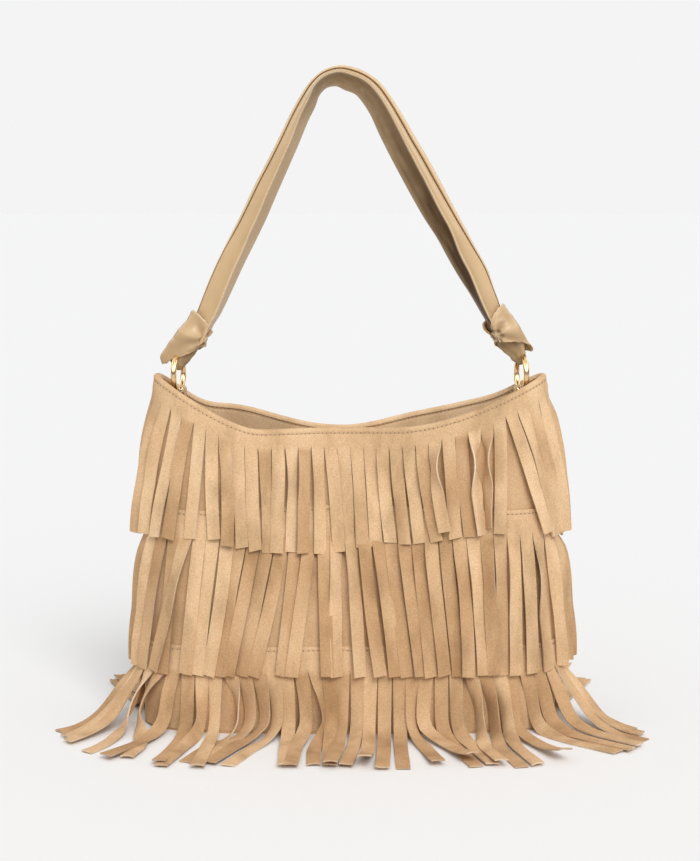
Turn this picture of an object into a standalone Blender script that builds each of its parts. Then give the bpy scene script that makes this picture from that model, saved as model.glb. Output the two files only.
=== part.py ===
"""Fringed suede shoulder bag with a knotted leather strap on two round rings.

Metres, +Z up. The front of the bag faces -Y, and the origin is the middle of the
base, on the surface that the bag stands on.
"""

import math
import random

import bmesh
import bpy
from mathutils import Matrix, Vector

# Body, outside of the suede panels
BASE_WIDTH = 0.376
BASE_DEPTH = 0.132
TOP_WIDTH = 0.350
TOP_DEPTH = 0.084
CORNER_HEIGHT = 0.315
MOUTH_DIP = 0.049
BASE_SQUARENESS = 4.0
TOP_SQUARENESS = 2.4
FRONT_LEFT_RIM_START = 0.35
FRONT_LEFT_RIM_POWER = 1.4
RIM_POWER = 1.8

# The snap pulls the middle of the mouth together
PINCH_Y = -0.006
PINCH_FLAT_WIDTH = 0.026
PINCH_FLAT_HEIGHT = 0.032
PINCH_FADE_WIDTH = 0.075
PINCH_FADE_HEIGHT = 0.200

# Materials' thicknesses and the clearance between two pieces that touch
PANEL = 0.0014
FACING = 0.0012
LINING = 0.0008
BASE = 0.0020
BOARD = 0.0015
FRINGE = 0.0012
GAP = 0.0003

# Inside of the mouth
FACING_HEIGHT = 0.036
SNAP_DIAMETER = 0.018
SNAP_HALF_THICKNESS = 0.003
SNAP_STUD_DIAMETER = 0.0074
SNAP_STUD_LENGTH = 0.0016
SNAP_DROP = 0.017

# Fringe
STRIP_PITCH = 0.0127
SLIT_WIDTH = 0.0010
BAND_HEIGHT = 0.020
FRINGE_LENGTH = 0.142
FLOOR_FRINGE_LENGTH = 0.160
MIDDLE_SEAM_HEIGHT = 0.198
LOWER_SEAM_HEIGHT = 0.078
TOP_HEM_HEIGHT = 0.168
HEM_STANDOFF = 0.0050
FLOOR_BEND = 0.026
FRINGE_LEAN = 0.006
HEM_VARIATION = 0.0025
FLOOR_GAP = 0.0001

# Rings and the tabs that hold them
RING_OUTER = 0.038
RING_WIRE = 0.005
RING_INSET = 0.020
RING_RISE = 0.001
RING_TURN = math.radians(10)
TAB_WIDTH = 0.012
TAB_THICKNESS = 0.0014
TAB_SIDE_ROOM = 0.0030
TAB_LENGTH = 0.030

# Strap and its knots
STRAP_RISE = 0.262
STRAP_WIDTH = 0.027
STRAP_DEPTH = 0.024
STRAP_LEAN_IN = 0.027
STRAP_FOOT_RISE = 0.049
KNOT_LENGTH = 0.056
KNOT_WIDTH = 0.031
KNOT_DEPTH = 0.031
KNOT_WRAP_WIDTH = 0.017
KNOT_WRAP_THICKNESS = 0.006
WRAP_TILT = math.radians(38)
KNOT_LAP = 0.003
KNOT_SEAT = 0.008

SEED = 7
FRONT = -1
BACK = 1
LEFT = -1
RIGHT = 1
OUTLINE_STEPS = 96

rim_low_height = CORNER_HEIGHT - MOUTH_DIP
wall_layers = PANEL + GAP + FACING + GAP
pinch_half = wall_layers + SNAP_HALF_THICKNESS + GAP / 2
ring_radius = (RING_OUTER - RING_WIRE) / 2
ring_height = CORNER_HEIGHT + RING_RISE
ring_spread = TOP_WIDTH / 2 - RING_INSET
strap_spread = ring_spread - STRAP_LEAN_IN

MATERIALS = {
    "suede": ((0.60, 0.40, 0.22), 0.95, 0.0),
    "suede_base": ((0.52, 0.34, 0.19), 0.95, 0.0),
    "strap_leather": ((0.58, 0.39, 0.20), 0.45, 0.0),
    "gold_metal": ((0.83, 0.60, 0.28), 0.22, 1.0),
    "lining_cloth": ((0.55, 0.40, 0.26), 0.85, 0.0),
    "board": ((0.30, 0.25, 0.20), 0.80, 0.0),
}


def clear_scene():
    """Removes what is in the scene, so that only the bag is left."""
    for obj in list(bpy.data.objects):
        bpy.data.objects.remove(obj)


def make_collection(name):
    collection = bpy.data.collections.new(name)
    bpy.context.scene.collection.children.link(collection)
    return collection


def make_material(name):
    colour, roughness, metallic = MATERIALS[name]
    material = bpy.data.materials.get(name) or bpy.data.materials.new(name)
    material.use_nodes = True
    shader = material.node_tree.nodes["Principled BSDF"]
    shader.inputs["Base Color"].default_value = (*colour, 1.0)
    shader.inputs["Roughness"].default_value = roughness
    shader.inputs["Metallic"].default_value = metallic
    return material


def add_object(name, data, material):
    """Links a new object to the bag's collection and gives it its material."""
    obj = bpy.data.objects.new(name, data)
    bag.objects.link(obj)
    obj.data.materials.append(make_material(material))
    return obj


def thicken(obj, thickness, towards=1.0):
    """Gives an open surface its thickness, on the side that its normals face."""
    solidify = obj.modifiers.new("thickness", "SOLIDIFY")
    solidify.thickness = thickness
    solidify.offset = towards
    solidify.use_even_offset = False


def ease(value):
    """Rises smoothly from 0 to 1, with flat ends."""
    t = min(1.0, max(0.0, value))
    return t * t * (3 - 2 * t)


def signed_power(value, power):
    return math.copysign(abs(value) ** power, value)


def half_width(z):
    rise = (z / CORNER_HEIGHT) ** 2.2 if z > 0 else 0.0
    return (BASE_WIDTH + (TOP_WIDTH - BASE_WIDTH) * rise) / 2


def half_depth(z):
    rise = (z / CORNER_HEIGHT) ** 2
    return (BASE_DEPTH + (TOP_DEPTH - BASE_DEPTH) * rise) / 2


def squareness(z):
    fall = max(0.0, 1 - z / CORNER_HEIGHT) ** 1.5
    return TOP_SQUARENESS + (BASE_SQUARENESS - TOP_SQUARENESS) * fall


def rim_height(x, side):
    """Height of the mouth's edge, low in the middle and high at the corners."""
    reach = min(1.0, abs(x) / (TOP_WIDTH / 2))
    if side == FRONT and x < 0:
        start = FRONT_LEFT_RIM_START
        power = FRONT_LEFT_RIM_POWER
    else:
        start = 0.0
        power = RIM_POWER
    share = max(0.0, (reach - start) / (1 - start))
    return rim_low_height + MOUTH_DIP * share**power


def pinch_share(x, z):
    """1 where the snap holds the two panels together, fading out around it."""
    beside = max(0.0, abs(x) - PINCH_FLAT_WIDTH / 2)
    below = max(0.0, rim_low_height - PINCH_FLAT_HEIGHT - z)
    fade = math.cos(math.pi / 2 * min(1.0, below / PINCH_FADE_HEIGHT)) ** 2
    return math.exp(-((beside / PINCH_FADE_WIDTH) ** 2)) * fade


outline_cache = {}


def outline(z):
    """Points of half the body's outline at height z, from the left seam to the right."""
    key = round(z, 6)
    if key not in outline_cache:
        power = 2 / squareness(z)
        points = []
        for step in range(OUTLINE_STEPS + 1):
            angle = math.pi * step / OUTLINE_STEPS
            x = -half_width(z) * signed_power(math.cos(angle), power)
            y = half_depth(z) * abs(math.sin(angle)) ** power
            points.append((x, y))
        lengths = [0.0]
        for (x0, y0), (x1, y1) in zip(points, points[1:]):
            lengths.append(lengths[-1] + math.hypot(x1 - x0, y1 - y0))
        outline_cache[key] = (points, lengths)
    return outline_cache[key]


def half_girth(z):
    return outline(z)[1][-1]


def body_point(side, u, z):
    """Point of the body's outside at height z, u along its half outline from 0 to 1."""
    points, lengths = outline(z)
    target = min(1.0, max(0.0, u)) * lengths[-1]
    low = 0
    high = OUTLINE_STEPS
    while high - low > 1:
        middle = (low + high) // 2
        if lengths[middle] <= target:
            low = middle
        else:
            high = middle
    share = (target - lengths[low]) / (lengths[high] - lengths[low])
    x = points[low][0] + share * (points[high][0] - points[low][0])
    y = side * (points[low][1] + share * (points[high][1] - points[low][1]))
    pinched_y = PINCH_Y + side * pinch_half
    return Vector((x, y + (pinched_y - y) * pinch_share(x, z), z))


def round_point(side, u, z):
    """The same, where u may run on past a side seam to the other side of the bag."""
    if u < 0:
        return body_point(-side, -u, z)
    if u > 1:
        return body_point(-side, 2 - u, z)
    return body_point(side, u, z)


def body_normal(side, u, z):
    """Outward normal of the body at the same place."""
    step_u = 0.012
    step_z = 0.004
    along = round_point(side, u + step_u, z) - round_point(side, u - step_u, z)
    up = body_point(side, u, z + step_z) - body_point(side, u, z - step_z)
    normal = along.cross(up) if side == FRONT else up.cross(along)
    return normal.normalized()


def wall_point(side, u, z, offset):
    return body_point(side, u, z) + body_normal(side, u, z) * offset


def rim_at(side, u):
    """Height of the mouth's edge at u, found where the wall meets the rim's curve."""
    z = rim_low_height
    for _ in range(8):
        z = rim_height(body_point(side, u, z).x, side)
    return z


def columns():
    """Columns of a wall piece between the side seams: one for each two strips of fringe."""
    return round(half_girth(TOP_HEM_HEIGHT) / (2 * STRIP_PITCH))


def place_at(side, share):
    """u at a share of the way round a side, clear of its seams, anticlockwise from above."""
    inset = GAP / half_girth(rim_low_height)
    u = inset + share * (1 - 2 * inset)
    return u if side == FRONT else 1 - u


def column_places(side):
    count = columns()
    return [place_at(side, column / count) for column in range(count + 1)]


def level_row(z):
    return lambda _side, _u: z


def row_below_rim(drop):
    return lambda side, u: rim_at(side, u) - drop


def lower_rows():
    """The wall's rows of points from the base up to the facing, with one at each fringe's
    seam and one at the top of its slits, so that the fringe lies flat against the wall."""
    lower_slits = LOWER_SEAM_HEIGHT - BAND_HEIGHT
    middle_slits = MIDDLE_SEAM_HEIGHT - BAND_HEIGHT
    between = LOWER_SEAM_HEIGHT + 0.5 * (middle_slits - LOWER_SEAM_HEIGHT)
    heights = (BASE + GAP, lower_slits, LOWER_SEAM_HEIGHT, between, middle_slits, MIDDLE_SEAM_HEIGHT)
    return [level_row(z) for z in heights]


def rim_rows():
    """The wall's rows from the facing's lower edge up to the rim."""
    return [row_below_rim(drop) for drop in (FACING_HEIGHT, BAND_HEIGHT, 0.0)]


def grid_mesh(name, rows, closed=False):
    """A mesh with two faces between each four neighbouring points of the rows."""
    mesh = bpy.data.meshes.new(name)
    shape = bmesh.new()
    verts = [[shape.verts.new(point) for point in row] for row in rows]
    for lower, upper in zip(verts, verts[1:]):
        count = len(lower)
        for i in range(count if closed else count - 1):
            j = (i + 1) % count
            shape.faces.new((lower[i], lower[j], upper[j]))
            shape.faces.new((lower[i], upper[j], upper[i]))
    shape.to_mesh(mesh)
    shape.free()
    return mesh


def wall_piece(name, side, outer_offset, thickness, rows, material):
    """A piece along one side of the bag, whose rows of points have the given heights."""
    grid = []
    for height in rows:
        line = []
        for u in column_places(side):
            line.append(wall_point(side, u, height(side, u), outer_offset - thickness))
        grid.append(line)
    obj = add_object(name, grid_mesh(name, grid), material)
    thicken(obj, thickness)
    obj.data.shade_smooth()
    return obj


def panel(name, side):
    """Suede front or back panel, standing on the base."""
    return wall_piece(name, side, 0.0, PANEL, lower_rows() + rim_rows(), "suede")


def facing(name, side):
    """Suede strip inside the mouth, which the rim's stitches go through."""
    return wall_piece(name, side, -(PANEL + GAP), FACING, rim_rows(), "suede")


def round_places():
    """Each side and place of the wall pieces' columns, once round the bag."""
    return [(side, u) for side in (FRONT, BACK) for u in column_places(side)]


def level_normal(side, u, z):
    """Outward normal of the body's outline at height z."""
    across = body_normal(side, u, z)
    across.z = 0
    return across.normalized()


def flat_plate(name, z, thickness, offset, material):
    """A plate cut to the body's outline, lying at height z."""
    curve = bpy.data.curves.new(name, "CURVE")
    curve.dimensions = "2D"
    curve.fill_mode = "BOTH"
    curve.extrude = thickness / 2
    points = [body_point(side, u, 0.0) + level_normal(side, u, 0.0) * offset for side, u in round_places()]
    spline = curve.splines.new("POLY")
    spline.points.add(len(points) - 1)
    for spot, point in zip(spline.points, points):
        spot.co = (point.x, point.y, 0.0, 1.0)
    spline.use_cyclic_u = True
    obj = add_object(name, curve, material)
    obj.location.z = z + thickness / 2
    return obj


def lining():
    """The cloth bag inside the suede one, sewn to the facings' lower edges."""
    floor = BASE + GAP + BOARD + GAP
    heights = [level_row(floor)] + lower_rows()[2:] + [row_below_rim(FACING_HEIGHT + GAP)]
    rows = []
    for height in heights:
        line = []
        for side, u in round_places():
            line.append(wall_point(side, u, height(side, u), -(PANEL + GAP + LINING)))
        rows.append(line)
    mesh = grid_mesh("lining", rows, closed=True)
    shape = bmesh.new()
    shape.from_mesh(mesh)
    shape.verts.ensure_lookup_table()
    shape.faces.new(list(reversed(shape.verts[: len(rows[0])])))
    for vert in shape.verts[: len(rows[0])]:
        vert.co.z += LINING
    shape.to_mesh(mesh)
    shape.free()
    obj = add_object("lining", mesh, "lining_cloth")
    thicken(obj, LINING)
    return obj


def lean_at(u):
    """How far a strip's tip leans along the wall: outwards, away from the middle."""
    return FRINGE_LEAN * math.sin(math.pi * (2 * u - 1)) * 0.5 + FRINGE_LEAN * (2 * u - 1) * 0.4


def band_rows(shape, side, heights, offsets):
    """The fringe's uncut band: a row of points at its top, and one where the slits start.

    There are two strips to each column of the wall, whose facets are flat between the
    columns, so every second point lies halfway between its neighbours.
    """
    rows = []
    count = columns()
    for height, offset in zip(heights, offsets):
        corners = []
        for u in column_places(side):
            corners.append(wall_point(side, u, height(side, u), offset))
        points = []
        for k in range(2 * count + 1):
            points.append((corners[k // 2] + corners[(k + 1) // 2]) / 2)
        rows.append([shape.verts.new(point) for point in points])
    uppers, slits = rows
    for k in range(2 * count):
        shape.faces.new((slits[k], slits[k + 1], uppers[k + 1], uppers[k]))
    return slits


def fringe_object(name, shape):
    mesh = bpy.data.meshes.new(name)
    shape.to_mesh(mesh)
    shape.free()
    obj = add_object(name, mesh, "suede")
    thicken(obj, FRINGE)
    return obj


def hanging_tier(name, side, top, hem, seed):
    """A fringe that hangs down the wall: an uncut band with strips cut below it."""
    dice = random.Random(seed)
    shape = bmesh.new()
    count = 2 * columns()

    def slit_tops(at_side, u):
        return top(at_side, u) - BAND_HEIGHT

    slits = band_rows(shape, side, (top, slit_tops), (GAP, 2 * GAP))
    for k in range(count):
        middle = (k + 0.5) / count
        above = slit_tops(side, place_at(side, middle))
        end = hem + dice.uniform(-1, 1) * HEM_VARIATION
        stand = HEM_STANDOFF * dice.uniform(0.75, 1.1)
        edges = (slits[k], slits[k + 1])
        for share in (0.5, 1.0):
            z = above + (end - above) * share
            girth = half_girth(z)
            lean = FRINGE_LEAN * (2 * middle - 1) * share / girth
            trim = SLIT_WIDTH / 2 / girth
            offset = 2 * GAP + FRINGE + (stand - FRINGE) * share
            strip = []
            for edge in (k / count + trim + lean, (k + 1) / count - trim + lean):
                u = place_at(side, min(1.0, max(0.0, edge)))
                strip.append(shape.verts.new(wall_point(side, u, z, offset)))
            shape.faces.new((strip[0], strip[1], edges[1], edges[0]))
            edges = strip
    return fringe_object(name, shape)


def floor_curve(length):
    """(outwards, height) along a strip that drops from its slit and runs out on the floor."""
    slit_height = LOWER_SEAM_HEIGHT - BAND_HEIGHT
    quarter = math.pi / 2 * math.sqrt((slit_height**2 + FLOOR_BEND**2) / 2)
    points = []
    for step in range(1, 4):
        angle = math.pi / 2 * step / 3
        out = FLOOR_BEND * (1 - math.cos(angle))
        points.append((out, slit_height * (1 - math.sin(angle)) + FLOOR_GAP))
    rest = max(FLOOR_BEND / 4, length - quarter)
    points.append((FLOOR_BEND + rest, FLOOR_GAP))
    return points


def floor_tier(name, side, seed):
    """The lowest fringe: its strips drop to the floor and splay out on it."""
    dice = random.Random(seed)
    shape = bmesh.new()
    count = 2 * columns()
    slit_height = LOWER_SEAM_HEIGHT - BAND_HEIGHT
    heights = (level_row(LOWER_SEAM_HEIGHT), level_row(slit_height))
    slits = band_rows(shape, side, heights, (GAP, 2 * GAP))
    trim = SLIT_WIDTH / 2 / half_girth(slit_height)
    for k in range(count):
        length = (FLOOR_FRINGE_LENGTH - BAND_HEIGHT) * dice.uniform(0.93, 1.0)
        edges = (slits[k], slits[k + 1])
        for out, z in floor_curve(length):
            strip = []
            for edge in (k / count + trim, (k + 1) / count - trim):
                u = place_at(side, edge)
                point = body_point(side, u, z) + level_normal(side, u, z) * (2 * GAP + out)
                strip.append(shape.verts.new(point))
            shape.faces.new((strip[0], strip[1], edges[1], edges[0]))
            edges = strip
    return fringe_object(name, shape)


def fringe():
    """Three rows of fringe, each a front and a back half that meet at the side seams."""
    middle_top = level_row(MIDDLE_SEAM_HEIGHT)
    middle_hem = MIDDLE_SEAM_HEIGHT - FRINGE_LENGTH
    for word, side in (("front", FRONT), ("back", BACK)):
        hanging_tier(f"fringe_top_{word}", side, rim_at, TOP_HEM_HEIGHT, SEED + side)
        hanging_tier(f"fringe_middle_{word}", side, middle_top, middle_hem, SEED + 10 + side)
        floor_tier(f"fringe_bottom_{word}", side, SEED + 20 + side)


def ring_centre(end):
    return Vector((end * ring_spread, 0.0, ring_height))


def ring_matrix(end):
    """Stands a ring that lies flat upright across the bag, its front turned outwards."""
    upright = Matrix.Rotation(math.pi / 2, 4, "Y")
    turned = Matrix.Rotation(end * RING_TURN, 4, "Z")
    return Matrix.Translation(ring_centre(end)) @ turned @ upright


def torus_mesh(name, wire_diameter, major_steps, minor_steps):
    """A ring that lies flat, made by turning its wire's circle about Z."""
    shape = bmesh.new()
    circle = bmesh.ops.create_circle(
        shape, segments=minor_steps, radius=wire_diameter / 2,
        matrix=Matrix.Translation((ring_radius, 0, 0)) @ Matrix.Rotation(math.pi / 2, 4, "X"),
    )
    bmesh.ops.spin(
        shape, geom=circle["verts"] + list(shape.edges), cent=(0, 0, 0), axis=(0, 0, 1),
        angle=2 * math.pi, steps=major_steps, use_merge=True,
    )
    bmesh.ops.remove_doubles(shape, verts=shape.verts, dist=1e-6)
    bmesh.ops.recalc_face_normals(shape, faces=shape.faces)
    mesh = bpy.data.meshes.new(name)
    shape.to_mesh(mesh)
    shape.free()
    return mesh


def ring(name, end):
    mesh = torus_mesh(name, RING_WIRE, 24, 8)
    mesh.shade_smooth()
    obj = add_object(name, mesh, "gold_metal")
    obj.matrix_world = ring_matrix(end)
    return obj


def inner_wall_x(z, y):
    """Half the clear width inside the facings at height z, at y in front of the side seam."""
    seam, beside = [wall_point(FRONT, u, z, -wall_layers) for u in column_places(FRONT)[-1:-3:-1]]
    return seam.x + (beside.x - seam.x) * y / abs(beside.y)


def ring_tab(name, end):
    """Leather strip folded over the ring's lower wire and sewn down inside the side seam."""
    centre = ring_centre(end)
    reach = TAB_WIDTH / 2
    sagitta = ring_radius - math.sqrt(ring_radius**2 - reach**2)
    bight = centre.z - ring_radius + RING_WIRE / 2 + sagitta + 2 * GAP
    room = RING_WIRE / 2 + TAB_SIDE_ROOM
    foot = ring_height - ring_radius - TAB_LENGTH
    inner = abs(centre.x)
    low = centre.z - ring_radius - RING_WIRE / 2
    turn = low - room
    outer_foot = inner_wall_x(foot, reach) - TAB_THICKNESS
    outer_turn = inner_wall_x(turn, reach) - TAB_THICKNESS
    profile = [
        (outer_foot, foot),
        (outer_turn, turn),
        (inner + room, low),
        (inner + room, bight - RING_WIRE / 4),
        (inner + room - RING_WIRE / 4, bight),
        (inner - room + RING_WIRE / 4, bight),
        (inner - room, bight - RING_WIRE / 4),
        (inner - room, low - TAB_THICKNESS),
        (outer_turn - 2 * TAB_THICKNESS - GAP, turn - RING_WIRE),
        (outer_foot - TAB_THICKNESS - GAP, foot),
    ]
    rows = [[(end * x, y, z) for x, z in profile] for y in (-reach, reach)]
    mesh = grid_mesh(name, rows)
    if end == RIGHT:
        mesh.flip_normals()
    obj = add_object(name, mesh, "strap_leather")
    thicken(obj, TAB_THICKNESS)
    return obj


def strap_path():
    """Points of the strap's middle line, from the left knot over the top to the right one."""
    spread = strap_spread
    low = ring_height + STRAP_FOOT_RISE
    top = ring_height + STRAP_RISE
    half = [
        (spread, low),
        (0.775 * spread, low + 0.295 * (top - low)),
        (0.55 * spread, low + 0.54 * (top - low)),
        (0.385 * spread, low + 0.76 * (top - low)),
        (0.225 * spread, low + 0.925 * (top - low)),
    ]
    left = [Vector((-x, 0, z)) for x, z in half]
    right = [Vector((x, 0, z)) for x, z in reversed(half)]
    return left + [Vector((0, 0, top))] + right


def smooth_points(points, between):
    """Points of a smooth curve through the given ones, with more in between."""
    found = []
    last = len(points) - 1
    for i in range(last):
        before = points[max(0, i - 1)]
        start = points[i]
        end = points[i + 1]
        after = points[min(last, i + 2)]
        for step in range(between):
            t = step / between
            found.append(
                0.5 * (2 * start + (end - before) * t
                       + (2 * before - 5 * start + 4 * end - after) * t**2
                       + (3 * start - before - 3 * end + after) * t**3)
            )
    found.append(points[last])
    return found


def strap_section(share):
    """The folded strap's section, (outwards, towards the front), at a share of its length.

    Two rolled lips meet in a groove on the outer edge. A ridge on the front side moves
    from the inner edge at the left knot to the lips at the top, and back again.
    """
    width = STRAP_WIDTH
    depth = STRAP_DEPTH
    ridge = -0.22 + 0.42 * ease(1 - abs(2 * share - 1.1) / 0.8)
    return [
        (0.44 * width, 0.02 * depth),
        (0.50 * width, 0.10 * depth),
        (0.46 * width, 0.20 * depth),
        (0.34 * width, 0.27 * depth),
        ((ridge + 0.12) * width, 0.42 * depth),
        (ridge * width, 0.44 * depth),
        ((ridge - 0.14) * width, 0.26 * depth),
        (-0.46 * width, -0.22 * depth),
        (-0.50 * width, -0.34 * depth),
        (-0.42 * width, -0.42 * depth),
        (0.05 * width, -0.50 * depth),
        (0.38 * width, -0.34 * depth),
        (0.47 * width, -0.16 * depth),
        (0.50 * width, -0.04 * depth),
    ]


def strap_tube():
    """The strap from knot to knot, a loft of its folded section along its path."""
    path = smooth_points(strap_path(), 2)
    shape = bmesh.new()
    rings = []
    last = len(path) - 1
    for i, point in enumerate(path):
        along = (path[min(last, i + 1)] - path[max(0, i - 1)]).normalized()
        outwards = Vector((-along.z, 0, along.x))
        front = Vector((0, -1, 0))
        narrow = 0.72 + 0.28 * ease(min(i, last - i) / 3)
        rings.append([
            shape.verts.new(point + outwards * p * narrow + front * q * narrow)
            for p, q in strap_section(i / last)
        ])
    count = len(rings[0])
    for lower, upper in zip(rings, rings[1:]):
        for i in range(count):
            j = (i + 1) % count
            shape.faces.new((lower[i], lower[j], upper[j], upper[i]))
    shape.faces.new(rings[0])
    shape.faces.new(list(reversed(rings[-1])))
    bmesh.ops.recalc_face_normals(shape, faces=shape.faces)
    mesh = bpy.data.meshes.new("shoulder_strap")
    shape.to_mesh(mesh)
    shape.free()
    return mesh


def knot_frame(end):
    """A matrix whose Z runs up the knot, from the ring to the strap."""
    low = ring_centre(end) + Vector((0, 0, ring_radius - KNOT_SEAT))
    high = Vector((end * strap_spread, 0, ring_height + STRAP_FOOT_RISE + KNOT_LAP))
    axis = (high - low).normalized()
    across = Vector((0, -1, 0)).cross(axis).normalized()
    turn = Matrix((across, (0, -1, 0), axis)).transposed().to_4x4()
    return Matrix.Translation((low + high) / 2) @ turn


def helper_object(name, mesh):
    """An object that only joins or cuts another one, so it isn't part of the bag."""
    obj = bpy.data.objects.new(name, mesh)
    tools.objects.link(obj)
    obj.hide_render = True
    obj.display_type = "WIRE"
    return obj


def knot_core(end):
    """The body of the knot, an egg that is fuller towards the ring."""
    shape = bmesh.new()
    bmesh.ops.create_uvsphere(shape, u_segments=12, v_segments=8, radius=0.5)
    for vert in shape.verts:
        swell = 1.0 - 0.22 * vert.co.z * 2
        vert.co.x *= KNOT_WIDTH * swell * 0.88
        vert.co.y *= KNOT_DEPTH * swell * 0.88
        vert.co.z *= KNOT_LENGTH
    mesh = bpy.data.meshes.new(f"knot_core_{end}")
    shape.to_mesh(mesh)
    shape.free()
    obj = helper_object(mesh.name, mesh)
    obj.matrix_world = knot_frame(end)
    return obj


def knot_wrap(end):
    """The turn of leather round the knot, a flat hoop that runs across it at a slant."""
    shape = bmesh.new()
    steps = 18
    half = KNOT_WRAP_WIDTH / 2
    thick = KNOT_WRAP_THICKNESS / 2
    section = [
        (half, 0.2), (half * 0.7, 1.0), (-half * 0.7, 1.0),
        (-half, 0.2), (-half * 0.8, -1.0), (half * 0.8, -1.0),
    ]
    rings = []
    for step in range(steps):
        angle = 2 * math.pi * step / steps
        swell = 1.0 + 0.25 * math.cos(angle - end * 0.6)
        line = []
        for along, side in section:
            radius_x = KNOT_WIDTH * 0.43 + side * thick
            radius_y = KNOT_DEPTH * 0.43 + side * thick
            line.append(shape.verts.new((radius_x * math.cos(angle), radius_y * math.sin(angle), along * swell)))
        rings.append(line)
    for i in range(steps):
        first = rings[i]
        second = rings[(i + 1) % steps]
        for j in range(len(section)):
            k = (j + 1) % len(section)
            shape.faces.new((first[j], first[k], second[k], second[j]))
    bmesh.ops.recalc_face_normals(shape, faces=shape.faces)
    mesh = bpy.data.meshes.new(f"knot_wrap_{end}")
    shape.to_mesh(mesh)
    shape.free()
    obj = helper_object(mesh.name, mesh)
    slant = Matrix.Rotation(end * WRAP_TILT, 4, "Y")
    obj.matrix_world = knot_frame(end) @ slant
    return obj


def ring_channel(end):
    """The room that the ring's wire takes in the knot."""
    mesh = torus_mesh(f"ring_channel_{end}", RING_WIRE + 2.4 * GAP, 24, 8)
    obj = helper_object(mesh.name, mesh)
    obj.matrix_world = ring_matrix(end)
    return obj


def boolean(obj, operation, other):
    modifier = obj.modifiers.new(f"{operation.lower()}_{other.name}", "BOOLEAN")
    modifier.operation = operation
    modifier.solver = "EXACT"
    modifier.object = other


def shoulder_strap():
    """One long piece of leather, tied in a knot round the ring at each end."""
    obj = add_object("shoulder_strap", strap_tube(), "strap_leather")
    for end in (LEFT, RIGHT):
        boolean(obj, "UNION", knot_core(end))
        boolean(obj, "UNION", knot_wrap(end))
        boolean(obj, "DIFFERENCE", ring_channel(end))
    return obj


def turned_piece(name, profile, material):
    """A piece turned about Z from a profile of (radius, height), top to bottom."""
    mesh = bpy.data.meshes.new(name)
    edges = [(i, i + 1) for i in range(len(profile) - 1)]
    mesh.from_pydata([(radius, 0, height) for radius, height in profile], edges, [])
    obj = add_object(name, mesh, material)
    screw = obj.modifiers.new("turn", "SCREW")
    screw.steps = 16
    screw.render_steps = 16
    screw.use_merge_vertices = True
    screw.merge_threshold = 0.00005
    return obj


def snap():
    """The two halves of the magnetic snap: a socket on the back, a stud on the front."""
    middle = rim_low_height - SNAP_DROP
    radius = SNAP_DIAMETER / 2
    stud = SNAP_STUD_DIAMETER / 2
    half = SNAP_HALF_THICKNESS
    edge = half / 6
    front_half = turned_piece(
        "snap_stud",
        [
            (0, half + SNAP_STUD_LENGTH), (stud - edge, half + SNAP_STUD_LENGTH),
            (stud, half + SNAP_STUD_LENGTH - edge), (stud, half),
            (radius - edge, half), (radius, half - edge), (radius, edge), (radius - edge, 0), (0, 0),
        ],
        "gold_metal",
    )
    hole = stud + GAP
    depth = SNAP_STUD_LENGTH + GAP
    back_half = turned_piece(
        "snap_socket",
        [
            (0, half - depth), (hole, half - depth), (hole, half),
            (radius - edge, half), (radius, half - edge), (radius, edge), (radius - edge, 0), (0, 0),
        ],
        "gold_metal",
    )
    front_face = PINCH_Y - pinch_half + wall_layers
    back_face = PINCH_Y + pinch_half - wall_layers
    front_half.matrix_world = (
        Matrix.Translation((0, front_face, middle)) @ Matrix.Rotation(-math.pi / 2, 4, "X")
    )
    back_half.matrix_world = (
        Matrix.Translation((0, back_face, middle)) @ Matrix.Rotation(math.pi / 2, 4, "X")
    )


def build_bag():
    panel("front_panel", FRONT)
    panel("back_panel", BACK)
    facing("front_facing", FRONT)
    facing("back_facing", BACK)
    flat_plate("base_panel", 0.0, BASE, 0.0, "suede_base")
    flat_plate("base_board", BASE + GAP, BOARD, -(PANEL + 2 * GAP), "board")
    lining()
    fringe()
    for word, end in (("left", LEFT), ("right", RIGHT)):
        ring(f"ring_{word}", end)
        ring_tab(f"ring_tab_{word}", end)
    shoulder_strap()
    snap()


clear_scene()
bag = make_collection("fringed_suede_bag")
tools = make_collection("joining_and_cutting_shapes")
build_bag()
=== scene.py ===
"""Looks of the fringed suede shoulder bag: suede, cut fringe, stitching, leather strap and rings.

Metres, +Z up. The front of the bag faces -Y and its base lies on the floor at z = 0.
"""

import math
import random

import bmesh
import bpy
from mathutils import Matrix, Vector, noise


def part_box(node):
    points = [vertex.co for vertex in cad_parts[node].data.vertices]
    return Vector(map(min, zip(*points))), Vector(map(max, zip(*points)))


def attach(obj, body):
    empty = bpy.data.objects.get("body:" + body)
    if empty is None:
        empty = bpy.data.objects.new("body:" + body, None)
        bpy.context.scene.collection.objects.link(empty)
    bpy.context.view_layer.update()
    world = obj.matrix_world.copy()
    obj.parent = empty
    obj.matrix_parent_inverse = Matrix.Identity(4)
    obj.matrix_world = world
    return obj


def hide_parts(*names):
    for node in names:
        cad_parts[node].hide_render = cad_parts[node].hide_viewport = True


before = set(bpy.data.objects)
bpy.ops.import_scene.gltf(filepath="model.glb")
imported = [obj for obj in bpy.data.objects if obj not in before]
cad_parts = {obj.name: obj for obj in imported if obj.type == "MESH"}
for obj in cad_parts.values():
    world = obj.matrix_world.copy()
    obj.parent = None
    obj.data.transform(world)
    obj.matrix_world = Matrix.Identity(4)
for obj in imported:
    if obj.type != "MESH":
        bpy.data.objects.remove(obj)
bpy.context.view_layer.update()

FRONT = -1
BACK = 1
LEFT = -1
RIGHT = 1
SIDES = ((FRONT, "front"), (BACK, "back"))
ENDS = ((LEFT, "left"), (RIGHT, "right"))

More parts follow.
